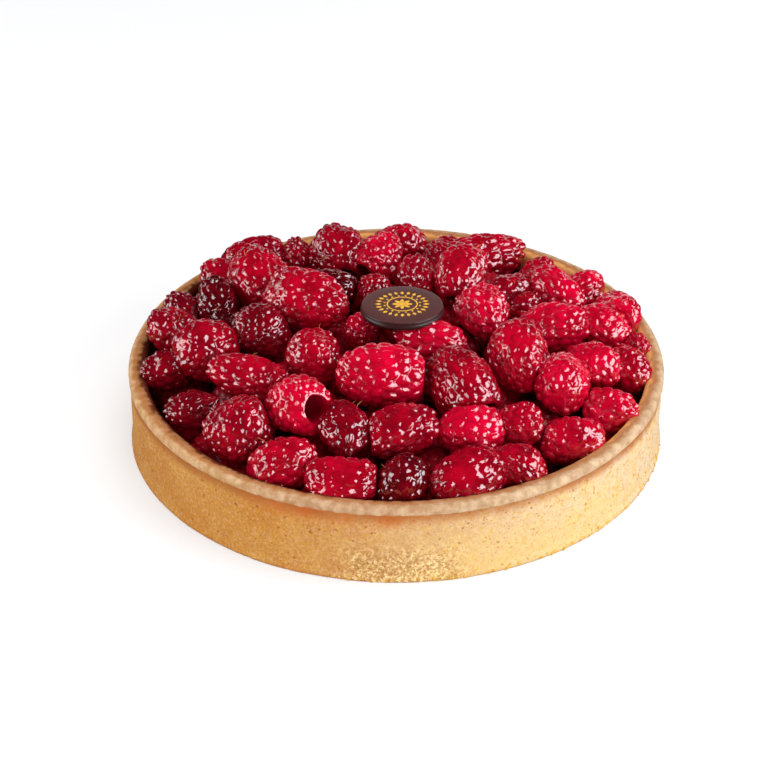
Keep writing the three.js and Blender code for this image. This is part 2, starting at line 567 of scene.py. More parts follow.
@dataclass(frozen=True)
class ShadedFruit:
    """The fruit and juice deep between the berries, which only shows as a dark red."""

    flesh: Colour = (0.34, 0.0005, 0.012)
    deep: Colour = (0.14, 0.0004, 0.005)

    def material(self) -> bpy.types.Material:
        """Mix a dark wet red.

        Returns:
            The material.
        """
        tree = FinishTree("shaded_raspberry")
        tone = tree.blend(tree.noise(9 * MM, 2.0), self.deep, self.flesh)
        tree.set(Base_Color=tone, Roughness=0.5, Coat_Weight=0.35, Coat_Roughness=0.08)
        tree.set(Specular_IOR_Level=0.1, Normal=tree.bump(tree.noise(1.4 * MM, 2.0), 0.15 * MM))
        return tree.material


@dataclass(frozen=True)
class BakedCrust:
    """Golden shortcrust: pale at the rim, browner in the groove with some painted shade, paler on
    one side with painted light, and dark inside with juice and painted shade.
    """

    case: "CaseSizes"
    gold: Colour = (0.43, 0.185, 0.030)
    pale: Colour = (0.48, 0.25, 0.056)
    # Painted light, partly real baking: cream and straw are laid on the side that faces the
    # right-hand lamp; straw also paints a pool of light at the front.
    lit_side_cream: Colour = (0.57, 0.465, 0.30)
    # Amber is the inner wall's colour where it is painted lit, against the painted shade.
    amber: Colour = (0.68, 0.31, 0.10)
    straw: Colour = (0.62, 0.415, 0.135)
    rim: Colour = (0.29, 0.175, 0.092)
    golden_rim: Colour = (0.40, 0.225, 0.095)
    flake: Colour = (0.95, 0.72, 0.36)
    ochre: Colour = (0.52, 0.28, 0.05)
    flour: Colour = (0.80, 0.63, 0.44)
    brown: Colour = (0.30, 0.095, 0.022)
    juice: Colour = (0.42, 0.10, 0.020)
    # The near-black inner colour is painted shade from the heaped fruit, partly juice.
    juice_and_shade_dark: Colour = (0.07, 0.010, 0.004)
    speck: Colour = (0.24, 0.075, 0.018)
    pit: Colour = (0.36, 0.15, 0.020)
    # Bearing of the side painted paler: partly baked, partly painted light from the right-hand
    # lamp.
    lit_side_bearing: float = -10.0
    # Bearing of the painted pool of light low on the front right.
    painted_light_bearing: float = -60.0
    blister_bearing: float = -89.0
    juice_bearing: float = -103.0
    # Bearing of the inner wall painted lit in amber, away from the painted shade.
    lit_inside_bearing: float = 35.0
    tree: FinishTree = field(default_factory=lambda: FinishTree("golden_shortcrust"))

    def material(self) -> bpy.types.Material:
        """Colour the crust by its height and distance from the axis, each read a little uneven.

        Returns:
            The material.
        """
        tree = self.tree
        wander = tree.times(tree.maths("SUBTRACT", tree.noise(3 * MM), 0.5), 1.8 * MM)
        level = tree.plus(tree.axis("Z"), wander)
        tone = self.bake_bands(self.add_specks(self.wall_tone()), level)
        tone, blisters = self.blister_front(tone)
        tone = self.shade_and_soak_inside(tone, level, tree.plus(tree.radius(), wander))
        grain = tree.bump(tree.times(tree.noise(0.7 * MM), self.sandiness()), 0.26 * MM)
        pores = tree.bump(tree.step(tree.cells(1.9 * MM), 0.0, 0.35), 0.12 * MM, grain)
        rough = tree.bump(blisters, -0.2 * MM, pores)
        tree.set(Base_Color=tone, Roughness=0.8, Normal=rough, Specular_IOR_Level=0.12)
        return tree.material

    def towards(self, bearing: float) -> Socket:
        """Measure how far a point lies from the axis along a bearing.

        Args:
            bearing: The bearing in degrees.

        Returns:
            The distance in metres.
        """
        tree = self.tree
        along = tree.times(tree.axis("X"), math.cos(math.radians(bearing)))
        return tree.plus(along, tree.times(tree.axis("Y"), math.sin(math.radians(bearing))))

    def paler_lit_side(self) -> Socket:
        """Tell the darker side, 0, from the one painted paler, 1: partly baked paler, partly
        painted light from the lamp on that side.
        """
        return self.tree.step(self.towards(self.lit_side_bearing), -30 * MM, 85 * MM)

    def sandiness(self) -> Socket:
        """Tell how sandy the crust is, from 1 down to less on the side painted paler as if lit."""
        return self.tree.maths("SUBTRACT", 1.0, self.tree.times(self.paler_lit_side(), 0.65))

    def wall_tone(self) -> Socket:
        """Mix the wall's gold, paler towards one side, partly as baked and partly as painted light,
        with a fine sandy mottle.

        Returns:
            The wall's colour.
        """
        tree = self.tree
        tone = tree.blend(tree.patches(14 * MM, 3.0, 0.35, 0.7), self.gold, self.pale)
        # Painted light, partly real baking: cream, straw patches and more ochre pits towards the
        # lit side.
        side = self.paler_lit_side()
        tone = tree.tint(tone, self.lit_side_cream, side, 0.9)
        yellow = tree.times(tree.patches(6 * MM, 3.0, 0.42, 0.62), side)
        tone = tree.tint(tone, self.straw, yellow, 0.5)
        tone = tree.tint(tone, self.brown, tree.patches(2.6 * MM, 4.0, 0.42, 0.72), 0.20)
        tone = tree.tint(tone, self.flour, tree.patches(1.3 * MM, 2.0, 0.48, 0.66), 0.13)
        sand = tree.times(tree.patches(0.8 * MM, 1.0, 0.42, 0.60), self.sandiness())
        tone = tree.tint(tone, self.brown, sand, 0.34)
        holes = tree.patches(1.5 * MM, 3.0, 0.57, 0.66, warp=0.4)
        depth = tree.plus(tree.times(side, 0.9), 0.15)
        return tree.blend(tree.times(holes, depth), tone, self.ochre)

    def add_specks(self, tone: Socket) -> Socket:
        """Scatter brown pores and specks of three sizes, many more in some places than in others.

        Args:
            tone: The colour so far.

        Returns:
            The speckled colour.
        """
        tree = self.tree
        crowd = tree.patches(11 * MM, 2.0, 0.28, 0.50)
        tone = tree.tint(tone, self.brown, tree.step(tree.cells(1.3 * MM), 0.30, 0.12), 0.35)
        kinds = ((1.6 * MM, 0.22, 0.7), (3.4 * MM, 0.16, 0.8), (6.5 * MM, 0.11, 0.9))
        for spacing, size, share in kinds:
            spots = tree.times(tree.step(tree.cells(spacing), size, size * 0.5), crowd)
            tone = tree.tint(tone, self.speck, spots, share)
        return tone

    def bake_bands(self, tone: Socket, level: Socket) -> Socket:
        """Darken the groove under the lip, partly browning and partly painted shade, darken the
        foot to brown, pale the rim and let juice creep out below it.

        Args:
            tone: The wall's colour.
            level: The uneven height.

        Returns:
            The banded colour.
        """
        tree = self.tree
        groove = self.case.groove_middle
        # Partly browning, partly painted shade: the groove under the overhanging lip turns brown in
        # patches.
        in_groove = tree.times(
            tree.step(level, groove - 3.8 * MM, groove + 0.1 * MM),
            tree.step(level, groove + 1.5 * MM, groove + 0.8 * MM),
        )
        patchy = tree.plus(tree.times(tree.noise(13 * MM, 2.0), 0.9), 0.35)
        tone = tree.blend(tree.times(in_groove, patchy), tone, self.brown)
        soaked = tree.times(
            tree.step(level, groove - 6.0 * MM, groove - 0.5 * MM),
            tree.step(self.towards(self.juice_bearing), 82 * MM, 88 * MM),
        )
        blots = tree.times(soaked, tree.patches(7 * MM, 3.0, 0.3, 0.6))
        tone = tree.tint(tone, self.juice, blots, 0.6)
        crest = tree.blend(tree.step(tree.axis("X"), -15 * MM, -80 * MM), self.rim, self.golden_rim)
        crest = tree.tint(crest, self.flour, tree.patches(3.0 * MM, 4.0, 0.30, 0.74), 0.42)
        crest = tree.tint(crest, self.brown, tree.patches(0.9 * MM, 3.0, 0.42, 0.68), 0.20)
        tone = tree.tint(tone, crest, tree.step(level, groove + 0.9 * MM, groove + 2.0 * MM), 0.85)
        return tree.tint(tone, self.brown, tree.step(level, 1.8 * MM, 0.2 * MM), 0.35)

    def blister_front(self, tone: Socket) -> tuple[Socket, Socket]:
        """Open the crust low at the front, where small pits show between pale flakes, and paint a
        pool of light in straw low on the front right.

        Args:
            tone: The colour so far.

        Returns:
            The colour with the pits, and how deep each point lies in one.
        """
        tree = self.tree
        place = tree.step(self.towards(self.blister_bearing), 86.6 * MM, 89 * MM)
        ragged = tree.plus(tree.axis("Z"), tree.times(tree.noise(9 * MM), 10 * MM))
        zone = tree.times(place, tree.step(ragged, 22 * MM, 11 * MM))
        pits = tree.times(tree.patches(0.8 * MM, 3.0, 0.48, 0.62, warp=0.4), zone)
        flakes = tree.times(tree.patches(1.4 * MM, 3.0, 0.46, 0.64), zone)
        # Painted light: a pool of straw low on the wall's front right, where the lamps light it
        # most.
        painted_light_pool = tree.step(self.towards(self.painted_light_bearing), 75 * MM, 86 * MM)
        painted_light_pool = tree.times(painted_light_pool, tree.step(tree.axis("Z"), 25 * MM, 6 * MM))
        tone = tree.tint(tone, self.straw, painted_light_pool, 0.42)
        tone = tree.tint(tone, self.flake, flakes, 0.5)
        return tree.tint(tone, self.pit, pits, 0.55), pits

    def shade_and_soak_inside(self, tone: Socket, level: Socket, radius: Socket) -> Socket:
        """Brown the rim's inner edge and darken the inner wall: partly juice, partly painted shade
        from the heaped fruit.

        Args:
            tone: The colour so far.
            level: The uneven height.
            radius: The uneven distance from the axis.

        Returns:
            The finished colour.
        """
        tree = self.tree
        top = self.case.height
        edge = self.case.radius - self.case.wall
        # Browned inner edge, partly toasting and partly painted shade; creep widens it on the -X
        # side, which lies in the fruit's shade.
        creep = tree.times(tree.step(tree.axis("X"), 0.0, -80 * MM), 0.7 * MM)
        seen = tree.maths("SUBTRACT", radius, creep)
        tone = tree.tint(tone, self.brown, tree.step(seen, edge + 4.7 * MM, edge + 2.8 * MM), 0.75)
        # Painted light and shade, partly juice-soaked: amber on the back-right of the inner wall,
        # which the lamps reach, and near black elsewhere and lower down.
        lit_inside = tree.step(self.towards(self.lit_inside_bearing), -20 * MM, 40 * MM)
        soaked = tree.blend(lit_inside, self.juice_and_shade_dark, self.amber)
        soaked = tree.blend(tree.step(level, top - 4 * MM, top - 9 * MM), soaked, self.juice_and_shade_dark)
        deep = tree.step(seen, edge + 2.8 * MM, edge + 1.1 * MM)
        below = tree.step(level, top + 0.3 * MM, top - 0.4 * MM)
        return tree.blend(tree.times(deep, below), tone, soaked)


@dataclass(frozen=True)
class SatinChocolate:
    """Dark chocolate with the soft sheen of a moulded disc."""

    body: Colour = (0.064, 0.019, 0.017)
    bloom: Colour = (0.090, 0.032, 0.029)
    # The side colour is painted shade on the faces that look aside, and also the fine dark specks
    # on the face.
    side: Colour = (0.024, 0.007, 0.007)

    def material(self) -> bpy.types.Material:
        """Mix the chocolate, darker where it looks aside than where it looks up: painted shade on
        the side.

        Returns:
            The material.
        """
        tree = FinishTree("satin_chocolate")
        face = tree.blend(tree.noise(4 * MM), self.body, self.bloom)
        # Painted shade: the faces that look aside take the side colour.
        tone = tree.blend(tree.step(tree.axis("Z", tree.normal()), 0.6, 0.95), self.side, face)
        tone = tree.tint(tone, self.side, tree.patches(0.5 * MM, 1.0, 0.40, 0.62), 0.35)
        grain = tree.bump(tree.noise(0.5 * MM, 2.0), 0.04 * MM)
        tree.set(Base_Color=tone, Roughness=0.38, Normal=grain, Specular_IOR_Level=0.5)
        return tree.material


@dataclass(frozen=True)
class EdibleGold:
    """Warm yellow gold print."""

    body: Colour = (0.90, 0.50, 0.05)
    worn: Colour = (0.62, 0.30, 0.04)

    def material(self) -> bpy.types.Material:
        """Mix the gold.

        Returns:
            The material.
        """
        tree = FinishTree("edible_gold")
        tone = tree.blend(tree.patches(0.7 * MM, 3.0, 0.3, 0.6), self.worn, self.body)
        tree.set(Base_Color=tone, Roughness=0.45, Metallic=0.25)
        return tree.material


@dataclass(frozen=True)
class DriedStyle:
    """The thin golden threads that stay on a raspberry."""

    straw: Colour = (0.85, 0.44, 0.13)
    brown: Colour = (0.60, 0.27, 0.08)

    def material(self) -> bpy.types.Material:
        """Mix the threads' straw colour.

        Returns:
            The material.
        """
        tree = FinishTree("dried_thread")
        tone = tree.blend(tree.noise(2 * MM, 1.0), self.straw, self.brown)
        tree.set(Base_Color=tone, Roughness=0.5)
        return tree.material


@dataclass(frozen=True)
class ToastedCrumb:
    """Grains of crust toasted a deeper gold than the wall."""

    gold: Colour = (0.60, 0.36, 0.06)
    brown: Colour = (0.40, 0.19, 0.03)

    def material(self) -> bpy.types.Material:
        """Mix the grains' gold.

        Returns:
            The material.
        """
        tree = FinishTree("toasted_crumb")
        tone = tree.blend(tree.patches(1.2 * MM, 2.0, 0.35, 0.65), self.gold, self.brown)
        tree.set(Base_Color=tone, Roughness=0.8, Specular_IOR_Level=0.15)
        tree.set(Normal=tree.bump(tree.noise(0.4 * MM, 2.0), 0.1 * MM))
        return tree.material


# ---------------------------------------------------------------- studio


@dataclass(frozen=True)
class Softbox:
    """A rectangular studio light that looks at one point; an unmirrored one isn't seen in glaze."""

    name: str
    place: tuple[float, float, float]
    width: float
    height: float
    brightness: float
    tint: Colour = (1.0, 1.0, 1.0)
    mirrored: bool = True

    def build(self, target: Vector) -> None:
        """Make the light.

        Args:
            target: The point that it looks at.
        """
        data = bpy.data.lights.new(self.name, "AREA")
        data.shape = "RECTANGLE"
        data.size = self.width
        data.size_y = self.height
        data.energy = self.brightness * math.pi * self.width * self.height
        data.color = self.tint
        light = bpy.data.objects.new(self.name, data)
        light.location = self.place
        light.visible_glossy = self.mirrored
        light.rotation_euler = (target - light.location).to_track_quat("-Z", "Y").to_euler()
        bpy.context.scene.collection.objects.link(light)


@dataclass(frozen=True)
class Studio:
    """Camera, lights, pale world and white floor."""

    camera_distance: float = 0.8
    camera_rise: float = math.radians(32.3)
    lens: float = 110.61
    sensor: float = 36.0
    aim: tuple[float, float, float] = (-4.07 * MM, -1.10 * MM, 16.90 * MM)
    floor_half: float = 30.0
    world_light: float = 0.008
    lights: tuple[Softbox, ...] = (
        Softbox("right", (0.61, -0.18, 0.34), 0.76, 0.48, 4.4, (0.95, 0.94, 1.0)),
        Softbox("left", (-0.62, -0.09, 0.20), 0.54, 0.40, 3.4, (1.0, 0.96, 0.96)),
        Softbox("back_left", (-0.60, 0.42, 0.14), 0.50, 0.20, 1.2),
        Softbox("back", (0.10, 0.85, 0.13), 1.20, 0.20, 1.2),
        Softbox("front", (0.24, -0.93, 0.26), 0.60, 0.40, 8.5, mirrored=False),
        Softbox(
            "front_left", (-0.45, -0.60, 0.40), 0.60, 0.50, 1.4, (1.0, 0.94, 0.84), mirrored=False
        ),
        Softbox("ceiling", (0.10, 0.10, 1.10), 1.40, 1.40, 2.6, mirrored=False),
    )

    def build(self) -> None:
        """Make the whole studio."""
        self.add_camera()
        self.add_floor()
        self.add_world()
        for light in self.lights:
            light.build(Vector(self.aim))
        bpy.context.scene.view_settings.view_transform = "Standard"

    def add_camera(self) -> None:
        """Put the camera in front of the tart, looking down on it."""
        data = bpy.data.cameras.new("camera")
        data.lens = self.lens
        data.sensor_width = self.sensor
        data.clip_start = 0.01
        camera = bpy.data.objects.new("camera", data)
        back = Vector((0.0, -math.cos(self.camera_rise), math.sin(self.camera_rise)))
        camera.location = Vector(self.aim) + back * self.camera_distance
        camera.rotation_euler = (-back).to_track_quat("-Z", "Y").to_euler()
        bpy.context.scene.collection.objects.link(camera)
        bpy.context.scene.camera = camera

    def add_floor(self) -> None:
        """Lay a white floor that glows a little, so that it stays white around a soft shadow."""
        deselect_all()
        bpy.ops.mesh.primitive_plane_add(size=2 * self.floor_half, location=(0, 0, 0))
        floor = name_piece("floor")
        tree = FinishTree("white_floor")
        tree.set(Base_Color=(0.44, 0.445, 0.455), Roughness=0.9, Specular_IOR_Level=0.0)
        tree.set(Emission_Color=(1.0, 1.0, 1.0), Emission_Strength=0.43)
        floor.data.materials.append(tree.material)
        floor.visible_glossy = False

    def add_world(self) -> None:
        """Set the pale surroundings."""
        world = bpy.data.worlds.new("pale_surroundings")
        world.use_nodes = True
        background = world.node_tree.nodes["Background"]
        background.inputs["Color"].default_value = (1.0, 1.0, 1.0, 1.0)
        background.inputs["Strength"].default_value = self.world_light
        bpy.context.scene.world = world


# ---------------------------------------------------------------- pastry case


@dataclass(frozen=True)
class CaseSizes:
    """Sizes of the pastry case."""

    radius: float
    height: float
    wall: float = 5.5 * MM
    floor: float = 5.0 * MM
    lip_proud: float = 0.5 * MM
    lip_height: float = 3.0 * MM
    outer_round: float = 1.8 * MM
    inner_round: float = 2.4 * MM
    groove_depth: float = 0.4 * MM
    groove_width: float = 2.0 * MM
    foot_round: float = 0.8 * MM
    foot_proud: float = 0.8 * MM

    @property
    def groove_middle(self) -> float:
        """Height of the groove's middle."""
        return self.height - self.lip_height - self.groove_width / 2


class PastryCase:
    """The straight-sided shortcrust case."""

    NODE = "pastry_case"
    SIDES = 288
    GRAIN = 0.20 * MM
    WAVE = 0.40 * MM
    UNDERSIDE = 0.02 * MM
    UNDERSIDE_GIVE = 0.25 * MM
    WALL_STEPS = 7
    INNER_STEPS = 6

    def __init__(self) -> None:
        """Take the case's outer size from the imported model."""
        low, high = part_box(self.NODE)
        self.sizes = CaseSizes(radius=high.x - CaseSizes.foot_proud, height=high.z)

    @staticmethod
    def quarter(x: float, z: float, radius: float, start: float, end: float, steps: int) -> Outline:
        """Points of an arc.

        Args:
            x: Distance of the arc's middle from the axis.
            z: Height of the arc's middle.
            radius: The arc's radius.
            start: First angle in degrees.
            end: Last angle in degrees.
            steps: Number of stretches.

        Returns:
            Pairs of radius and height.
        """
        angles = [math.radians(start + (end - start) * step / steps) for step in range(steps + 1)]
        return [(x + radius * math.cos(angle), z + radius * math.sin(angle)) for angle in angles]

    def outline(self) -> Outline:
        """The case's section, from under the foot, up the wall, over the rim and down to the floor.

        Returns:
            Pairs of radius and height.
        """
        s = self.sizes
        outer = s.radius
        foot = outer + s.foot_proud
        lip = outer + s.lip_proud
        top = s.height
        lip_foot = top - s.lip_height
        rise = lip_foot - s.groove_width - 3 * MM
        points = [(foot - s.foot_round * 2.4, 0.0), (foot - s.foot_round * 1.5, 0.0)]
        points += self.quarter(foot - s.foot_round, s.foot_round, s.foot_round, -90, 0, 3)
        points += [(outer + 0.25 * MM, 2.4 * MM)]
        for step in range(self.WALL_STEPS + 1):
            points.append((outer, 3.6 * MM + (rise - 3.6 * MM) * step / self.WALL_STEPS))
        points += [
            (outer - s.groove_depth * 0.35, lip_foot - s.groove_width),
            (outer - s.groove_depth, lip_foot - s.groove_width * 0.5),
            (outer - s.groove_depth * 0.3, lip_foot - s.groove_width * 0.1),
            (lip, lip_foot + 0.5 * MM),
        ]
        points += self.quarter(lip - s.outer_round, top - s.outer_round, s.outer_round, 0, 90, 4)
        inner = outer - s.wall
        points += self.quarter(
            inner + s.inner_round, top - s.inner_round, s.inner_round, 90, 180, 4
        )
        depth = top - s.inner_round - s.floor
        for step in range(1, self.INNER_STEPS):
            points.append((inner, top - s.inner_round - depth * step / self.INNER_STEPS))
        return points + [(inner - 1.5 * MM, s.floor), (inner - 14 * MM, s.floor)]

    def build(self) -> None:
        """Model the case: a ring drawn along its section, closed by a base and a floor."""
        outline = self.outline()
        radius, height = outline[0]
        deselect_all()
        bpy.ops.mesh.primitive_circle_add(
            vertices=self.SIDES, radius=radius, location=(0, 0, height)
        )
        case = name_piece("tart_case")
        apply_place(case)
        edit_whole(case)
        draw_rings(outline)
        bpy.ops.object.mode_set(mode="OBJECT")
        smooth_surface(case)
        self.close_ends(case)
        add_relief(case, 28 * MM, self.WAVE, 1)
        add_relief(case, 1.7 * MM, self.GRAIN, 3)
        apply_modifiers(case)
        self.level_underside(case)
        bpy.ops.object.shade_smooth()
        hand_in(case, BakedCrust(self.sizes).material(), "crust", self.NODE)

    def level_underside(self, case: Piece) -> None:
        """Press the roughened underside level, so that the case stands flat.

        Args:
            case: The roughened case.
        """
        points = points_of(case)
        points[points[:, 2] < self.UNDERSIDE_GIVE, 2] = self.UNDERSIDE
        move_points(case, points)

    @staticmethod
    def close_ends(case: Piece) -> None:
        """Close the section's two open ends with rings that shrink to the middle.

        Args:
            case: The case, open at its base and at its floor.
        """
        edit_whole(case)
        for end in (min, max):
            bpy.ops.mesh.select_mode(type="EDGE")
            bpy.ops.mesh.select_all(action="DESELECT")
            shape = bmesh.from_edit_mesh(case.data)
            edges = [edge for edge in shape.edges if edge.is_boundary]
            level = end(edge.verts[0].co.z for edge in edges)
            for edge in edges:
                edge.select = abs(edge.verts[0].co.z - level) < 0.1 * MM
            bmesh.update_edit_mesh(case.data)
            for share in (0.9, 0.8, 0.6, 0.3):
                bpy.ops.mesh.extrude_region_move()
                bpy.ops.transform.resize(
                    value=(share, share, 1.0), center_override=(0.0, 0.0, level)
                )
            bpy.ops.mesh.merge(type="CENTER")
        turn_outwards()


# ---------------------------------------------------------------- raspberries


@dataclass(frozen=True)
class BerryForm:
    """How one pattern of raspberry is grown."""

    seed: int
    half_width: float = 10.0 * MM
    length: float = 22.0 * MM
    drupelet: float = 4.1 * MM
    shoulder: float = 0.80
    unevenness: float = 0.95 * MM
    bulge: float = 1.0
    hollow: float = 0.62
    mouth: float = 0.52

    @property
    def half_size(self) -> np.ndarray:
        """Half the berry's size along X, Y and Z."""
        return np.array([self.half_width, self.half_width, self.length / 2])


class BerryPattern:
    """A raspberry modelled once, whose copies are fitted to their places."""

    OPENING = math.radians(-58)
    MOUTH_LIFT = 1.7 * MM
    DOT = 0.01 * MM
    CROWN_PERCENT = 88
    GROUPS = 4
    OUTLINE_STEPS = 400
    SWELLS = ((0.05, 0.085), (0.12, 0.095), (0.15, 0.050))
    HOLLOW_STEPS = ((0.12, 0.92), (0.3, 0.9), (0.3, 0.85), (0.28, 0.5))
    SKIN_ROUNDS = 6
    STAND = 0.03

    def __init__(self, form: BerryForm, smooth: bool = True) -> None:
        """Keep the form.

        Args:
            form: The pattern's sizes and seed.
            smooth: Whether the drupelets are rounded by subdivision.
        """
        self.form = form
        self.smooth = smooth
        self.draw = random.Random(form.seed)

    def section(self, angle: float) -> tuple[float, float]:
        """A point of the berry's outline.

        Args:
            angle: From the mouth of the hollow to a quarter turn at the tip.

        Returns:
            Distance from the axis and height.
        """
        form = self.form
        bulge = math.cos(angle) ** form.shoulder if math.cos(angle) > 0 else 0.0
        taper = 1.0 - 0.10 * math.sin(angle)
        return form.half_width * bulge * taper, form.length / 2 * math.sin(angle)

    def rows(self) -> Outline:
        """Rows of drupelets, a row's pitch apart along the outline.

        Returns:
            Distance from the axis and height of each row.
        """
        pitch = self.form.drupelet * 0.87
        rows = [self.section(self.OPENING)]
        travelled = 0.0
        last = rows[0]
        for step in range(1, self.OUTLINE_STEPS + 1):
            here = self.section(
                self.OPENING + (math.pi / 2 - self.OPENING) * step / self.OUTLINE_STEPS
            )
            travelled += math.dist(here, last)
            last = here
            if travelled >= pitch:
                rows.append(here)
                travelled = 0.0
        if travelled < 0.6 * pitch:
            rows.pop()
        return rows + [(0.0, self.form.length / 2)]

    def build(self, name: str) -> Piece:
        """Model the berry.

        Args:
            name: Name of the pattern.

        Returns:
            The pattern, its axis along +Z and its tip up.
        """
        berry = self.add_rows(name)
        self.take_cells(berry)
        self.grow_drupelets(berry)
        if self.smooth:
            smooth_surface(berry)
        self.trim(berry)
        self.mark(berry)
        make_active(berry)
        bpy.ops.object.shade_smooth()
        return berry

    def add_rows(self, name: str) -> Piece:
        """Set a vertex for each drupelet, in staggered rings, and stretch a skin over them.

        Args:
            name: Name of the berry.

        Returns:
            The closed, triangulated skin.
        """
        deselect_all()
        bpy.ops.mesh.primitive_circle_add(vertices=3, radius=self.DOT)
        berry = name_piece(name)
        bpy.ops.object.mode_set(mode="EDIT")
        bpy.ops.mesh.select_mode(type="VERT")
        bpy.ops.mesh.select_all(action="SELECT")
        bpy.ops.mesh.merge(type="CENTER")
        mouth_height = self.section(self.OPENING)[1]
        bpy.ops.transform.translate(value=(0.0, 0.0, mouth_height - self.MOUTH_LIFT))
        for row, (radius, height) in enumerate(self.rows()):
            count = max(1, round(FULL_TURN * radius / self.form.drupelet))
            if count < 4:
                bpy.ops.mesh.primitive_circle_add(
                    vertices=3, radius=self.DOT, location=(radius, 0.0, height)
                )
                bpy.ops.mesh.merge(type="CENTER")
                continue
            stagger = (row % 2) * math.pi / count
            turn = (0.0, 0.0, stagger + self.draw.uniform(-0.08, 0.08))
            bpy.ops.mesh.primitive_circle_add(
                vertices=count, radius=radius, location=(0.0, 0.0, height), rotation=turn
            )
        bpy.ops.mesh.select_all(action="SELECT")
        bpy.ops.mesh.convex_hull(join_triangles=False, delete_unused=True)
        bpy.ops.mesh.select_all(action="SELECT")
        bpy.ops.transform.vertex_random(
            offset=self.form.unevenness, uniform=1.0, seed=self.form.seed
        )
        bpy.ops.object.mode_set(mode="OBJECT")
        return berry

    @staticmethod
    def take_cells(berry: Piece) -> None:
        """Turn each vertex of the skin into a cell that touches its neighbours.

        Args:
            berry: The triangulated skin.
        """
        group = bpy.data.node_groups.get("drupelet_cells")
        if group is None:
            group = bpy.data.node_groups.new("drupelet_cells", "GeometryNodeTree")
            for way in ("INPUT", "OUTPUT"):
                group.interface.new_socket("Geometry", in_out=way, socket_type="NodeSocketGeometry")
            kinds = ("NodeGroupInput", "GeometryNodeDualMesh", "NodeGroupOutput")
            skin, dual, cells = [group.nodes.new(kind) for kind in kinds]
            group.links.new(skin.outputs[0], dual.inputs[0])
            group.links.new(dual.outputs[0], cells.inputs[0])
        berry.modifiers.new("cells", "NODES").node_group = group
        apply_modifiers(berry)

    def grow_drupelets(self, berry: Piece) -> None:
        """Raise a drupelet on each cell and sink the hollow at the base.

        Args:
            berry: The berry's cells.
        """
        tone = berry.data.attributes.new("tone", "FLOAT", "FACE")
        for value in tone.data:
            value.value = self.draw.random()
        edit_whole(berry)
        self.widen_mouth(berry)
        size = self.form.drupelet
        for group in range(self.GROUPS):
            self.pick(berry, group)
            swell = self.form.bulge * (0.7 + 0.6 * group / (self.GROUPS - 1))
            for inward, outward in self.SWELLS:
                rise = outward * size * swell
                bpy.ops.mesh.inset(thickness=inward * size, depth=rise, use_individual=True)
        self.pick_mouth(berry)
        bpy.ops.mesh.inset(thickness=0.3 * MM, depth=0.1 * MM)
        deep = self.form.length * self.form.hollow
        for share, shrink in self.HOLLOW_STEPS:
            lift = {"value": (0.0, 0.0, deep * share)}
            bpy.ops.mesh.extrude_region_move(TRANSFORM_OT_translate=lift)
            bpy.ops.transform.resize(value=(shrink, shrink, 1.0))
        bpy.ops.object.mode_set(mode="OBJECT")

    def widen_mouth(self, berry: Piece) -> None:
        """Spread the cell at the mouth of the hollow to the form's share of the half width.

        Args:
            berry: The berry's cells, in edit mode.
        """
        self.pick_mouth(berry)
        shape = bmesh.from_edit_mesh(berry.data)
        corners = [vertex.co.xy.length for vertex in shape.verts if vertex.select]
        grow = self.form.mouth * self.form.half_width * len(corners) / sum(corners)
        bpy.ops.transform.resize(value=(grow, grow, 1.0), center_override=(0.0, 0.0, 0.0))

    def pick(self, berry: Piece, group: int) -> None:
        """Select the cells of one group, but not the one at the mouth of the hollow.

        Args:
            berry: The berry, in edit mode.
            group: Number of the group, by the cells' tone.
        """
        mouth = self.pick_mouth(berry)
        shape = bmesh.from_edit_mesh(berry.data)
        tone = shape.faces.layers.float["tone"]
        for face in shape.faces:
            mine = int(face[tone] * self.GROUPS) == group
            face.select = mine and face.index != mouth
        bmesh.update_edit_mesh(berry.data)

    @staticmethod
    def pick_mouth(berry: Piece) -> int:
        """Select the cell at the mouth of the hollow alone.

        Args:
            berry: The berry, in edit mode.

        Returns:
            The cell's number.
        """
        bpy.ops.mesh.select_mode(type="FACE")
        bpy.ops.mesh.select_all(action="DESELECT")
        shape = bmesh.from_edit_mesh(berry.data)
        below = [face for face in shape.faces if face.calc_center_median().z < 0.0]
        mouth = min(below, key=lambda face: face.calc_center_median().xy.length)
        mouth.select = True
        bmesh.update_edit_mesh(berry.data)
        return mouth.index

    def trim(self, berry: Piece) -> None:
        """Bring the berry to the form's width and length, so that most crowns just reach them.

        Args:
            berry: The modelled berry.
        """
        points = points_of(berry)
        low, high = points.min(axis=0), points.max(axis=0)
        size = 2 * self.form.half_size
        points = (points - (low + high) / 2) * size / (high - low)
        share = np.linalg.norm(points / (size / 2), axis=1)
        move_points(berry, points / np.percentile(share, self.CROWN_PERCENT))

    def mark(self, berry: Piece) -> None:
        """Store how high each point stands on its drupelet, and where the mean skin lies there.

        Args:
            berry: The finished berry.
        """
        points = points_of(berry)
        share = np.linalg.norm(points / self.form.half_size, axis=1)
        edges = np.empty(len(berry.data.edges) * 2, np.int32)
        berry.data.edges.foreach_get("vertices", edges)
        first, second = edges.reshape(-1, 2).T
        around = share.copy()
        for _ in range(self.SKIN_ROUNDS):
            total = np.zeros(len(points))
            count = np.zeros(len(points))
            for here, there in ((first, second), (second, first)):
                np.add.at(total, here, around[there])
                np.add.at(count, here, 1.0)
            around = total / np.maximum(count, 1.0)
        height = np.clip(0.5 + 0.5 * (share - around) / self.STAND, 0.0, 1.0)
        for name, values in (("height", height), ("skin", around)):
            attribute = berry.data.attributes.new(name, "FLOAT", "POINT")
            attribute.data.foreach_set("value", values.astype(np.float32))


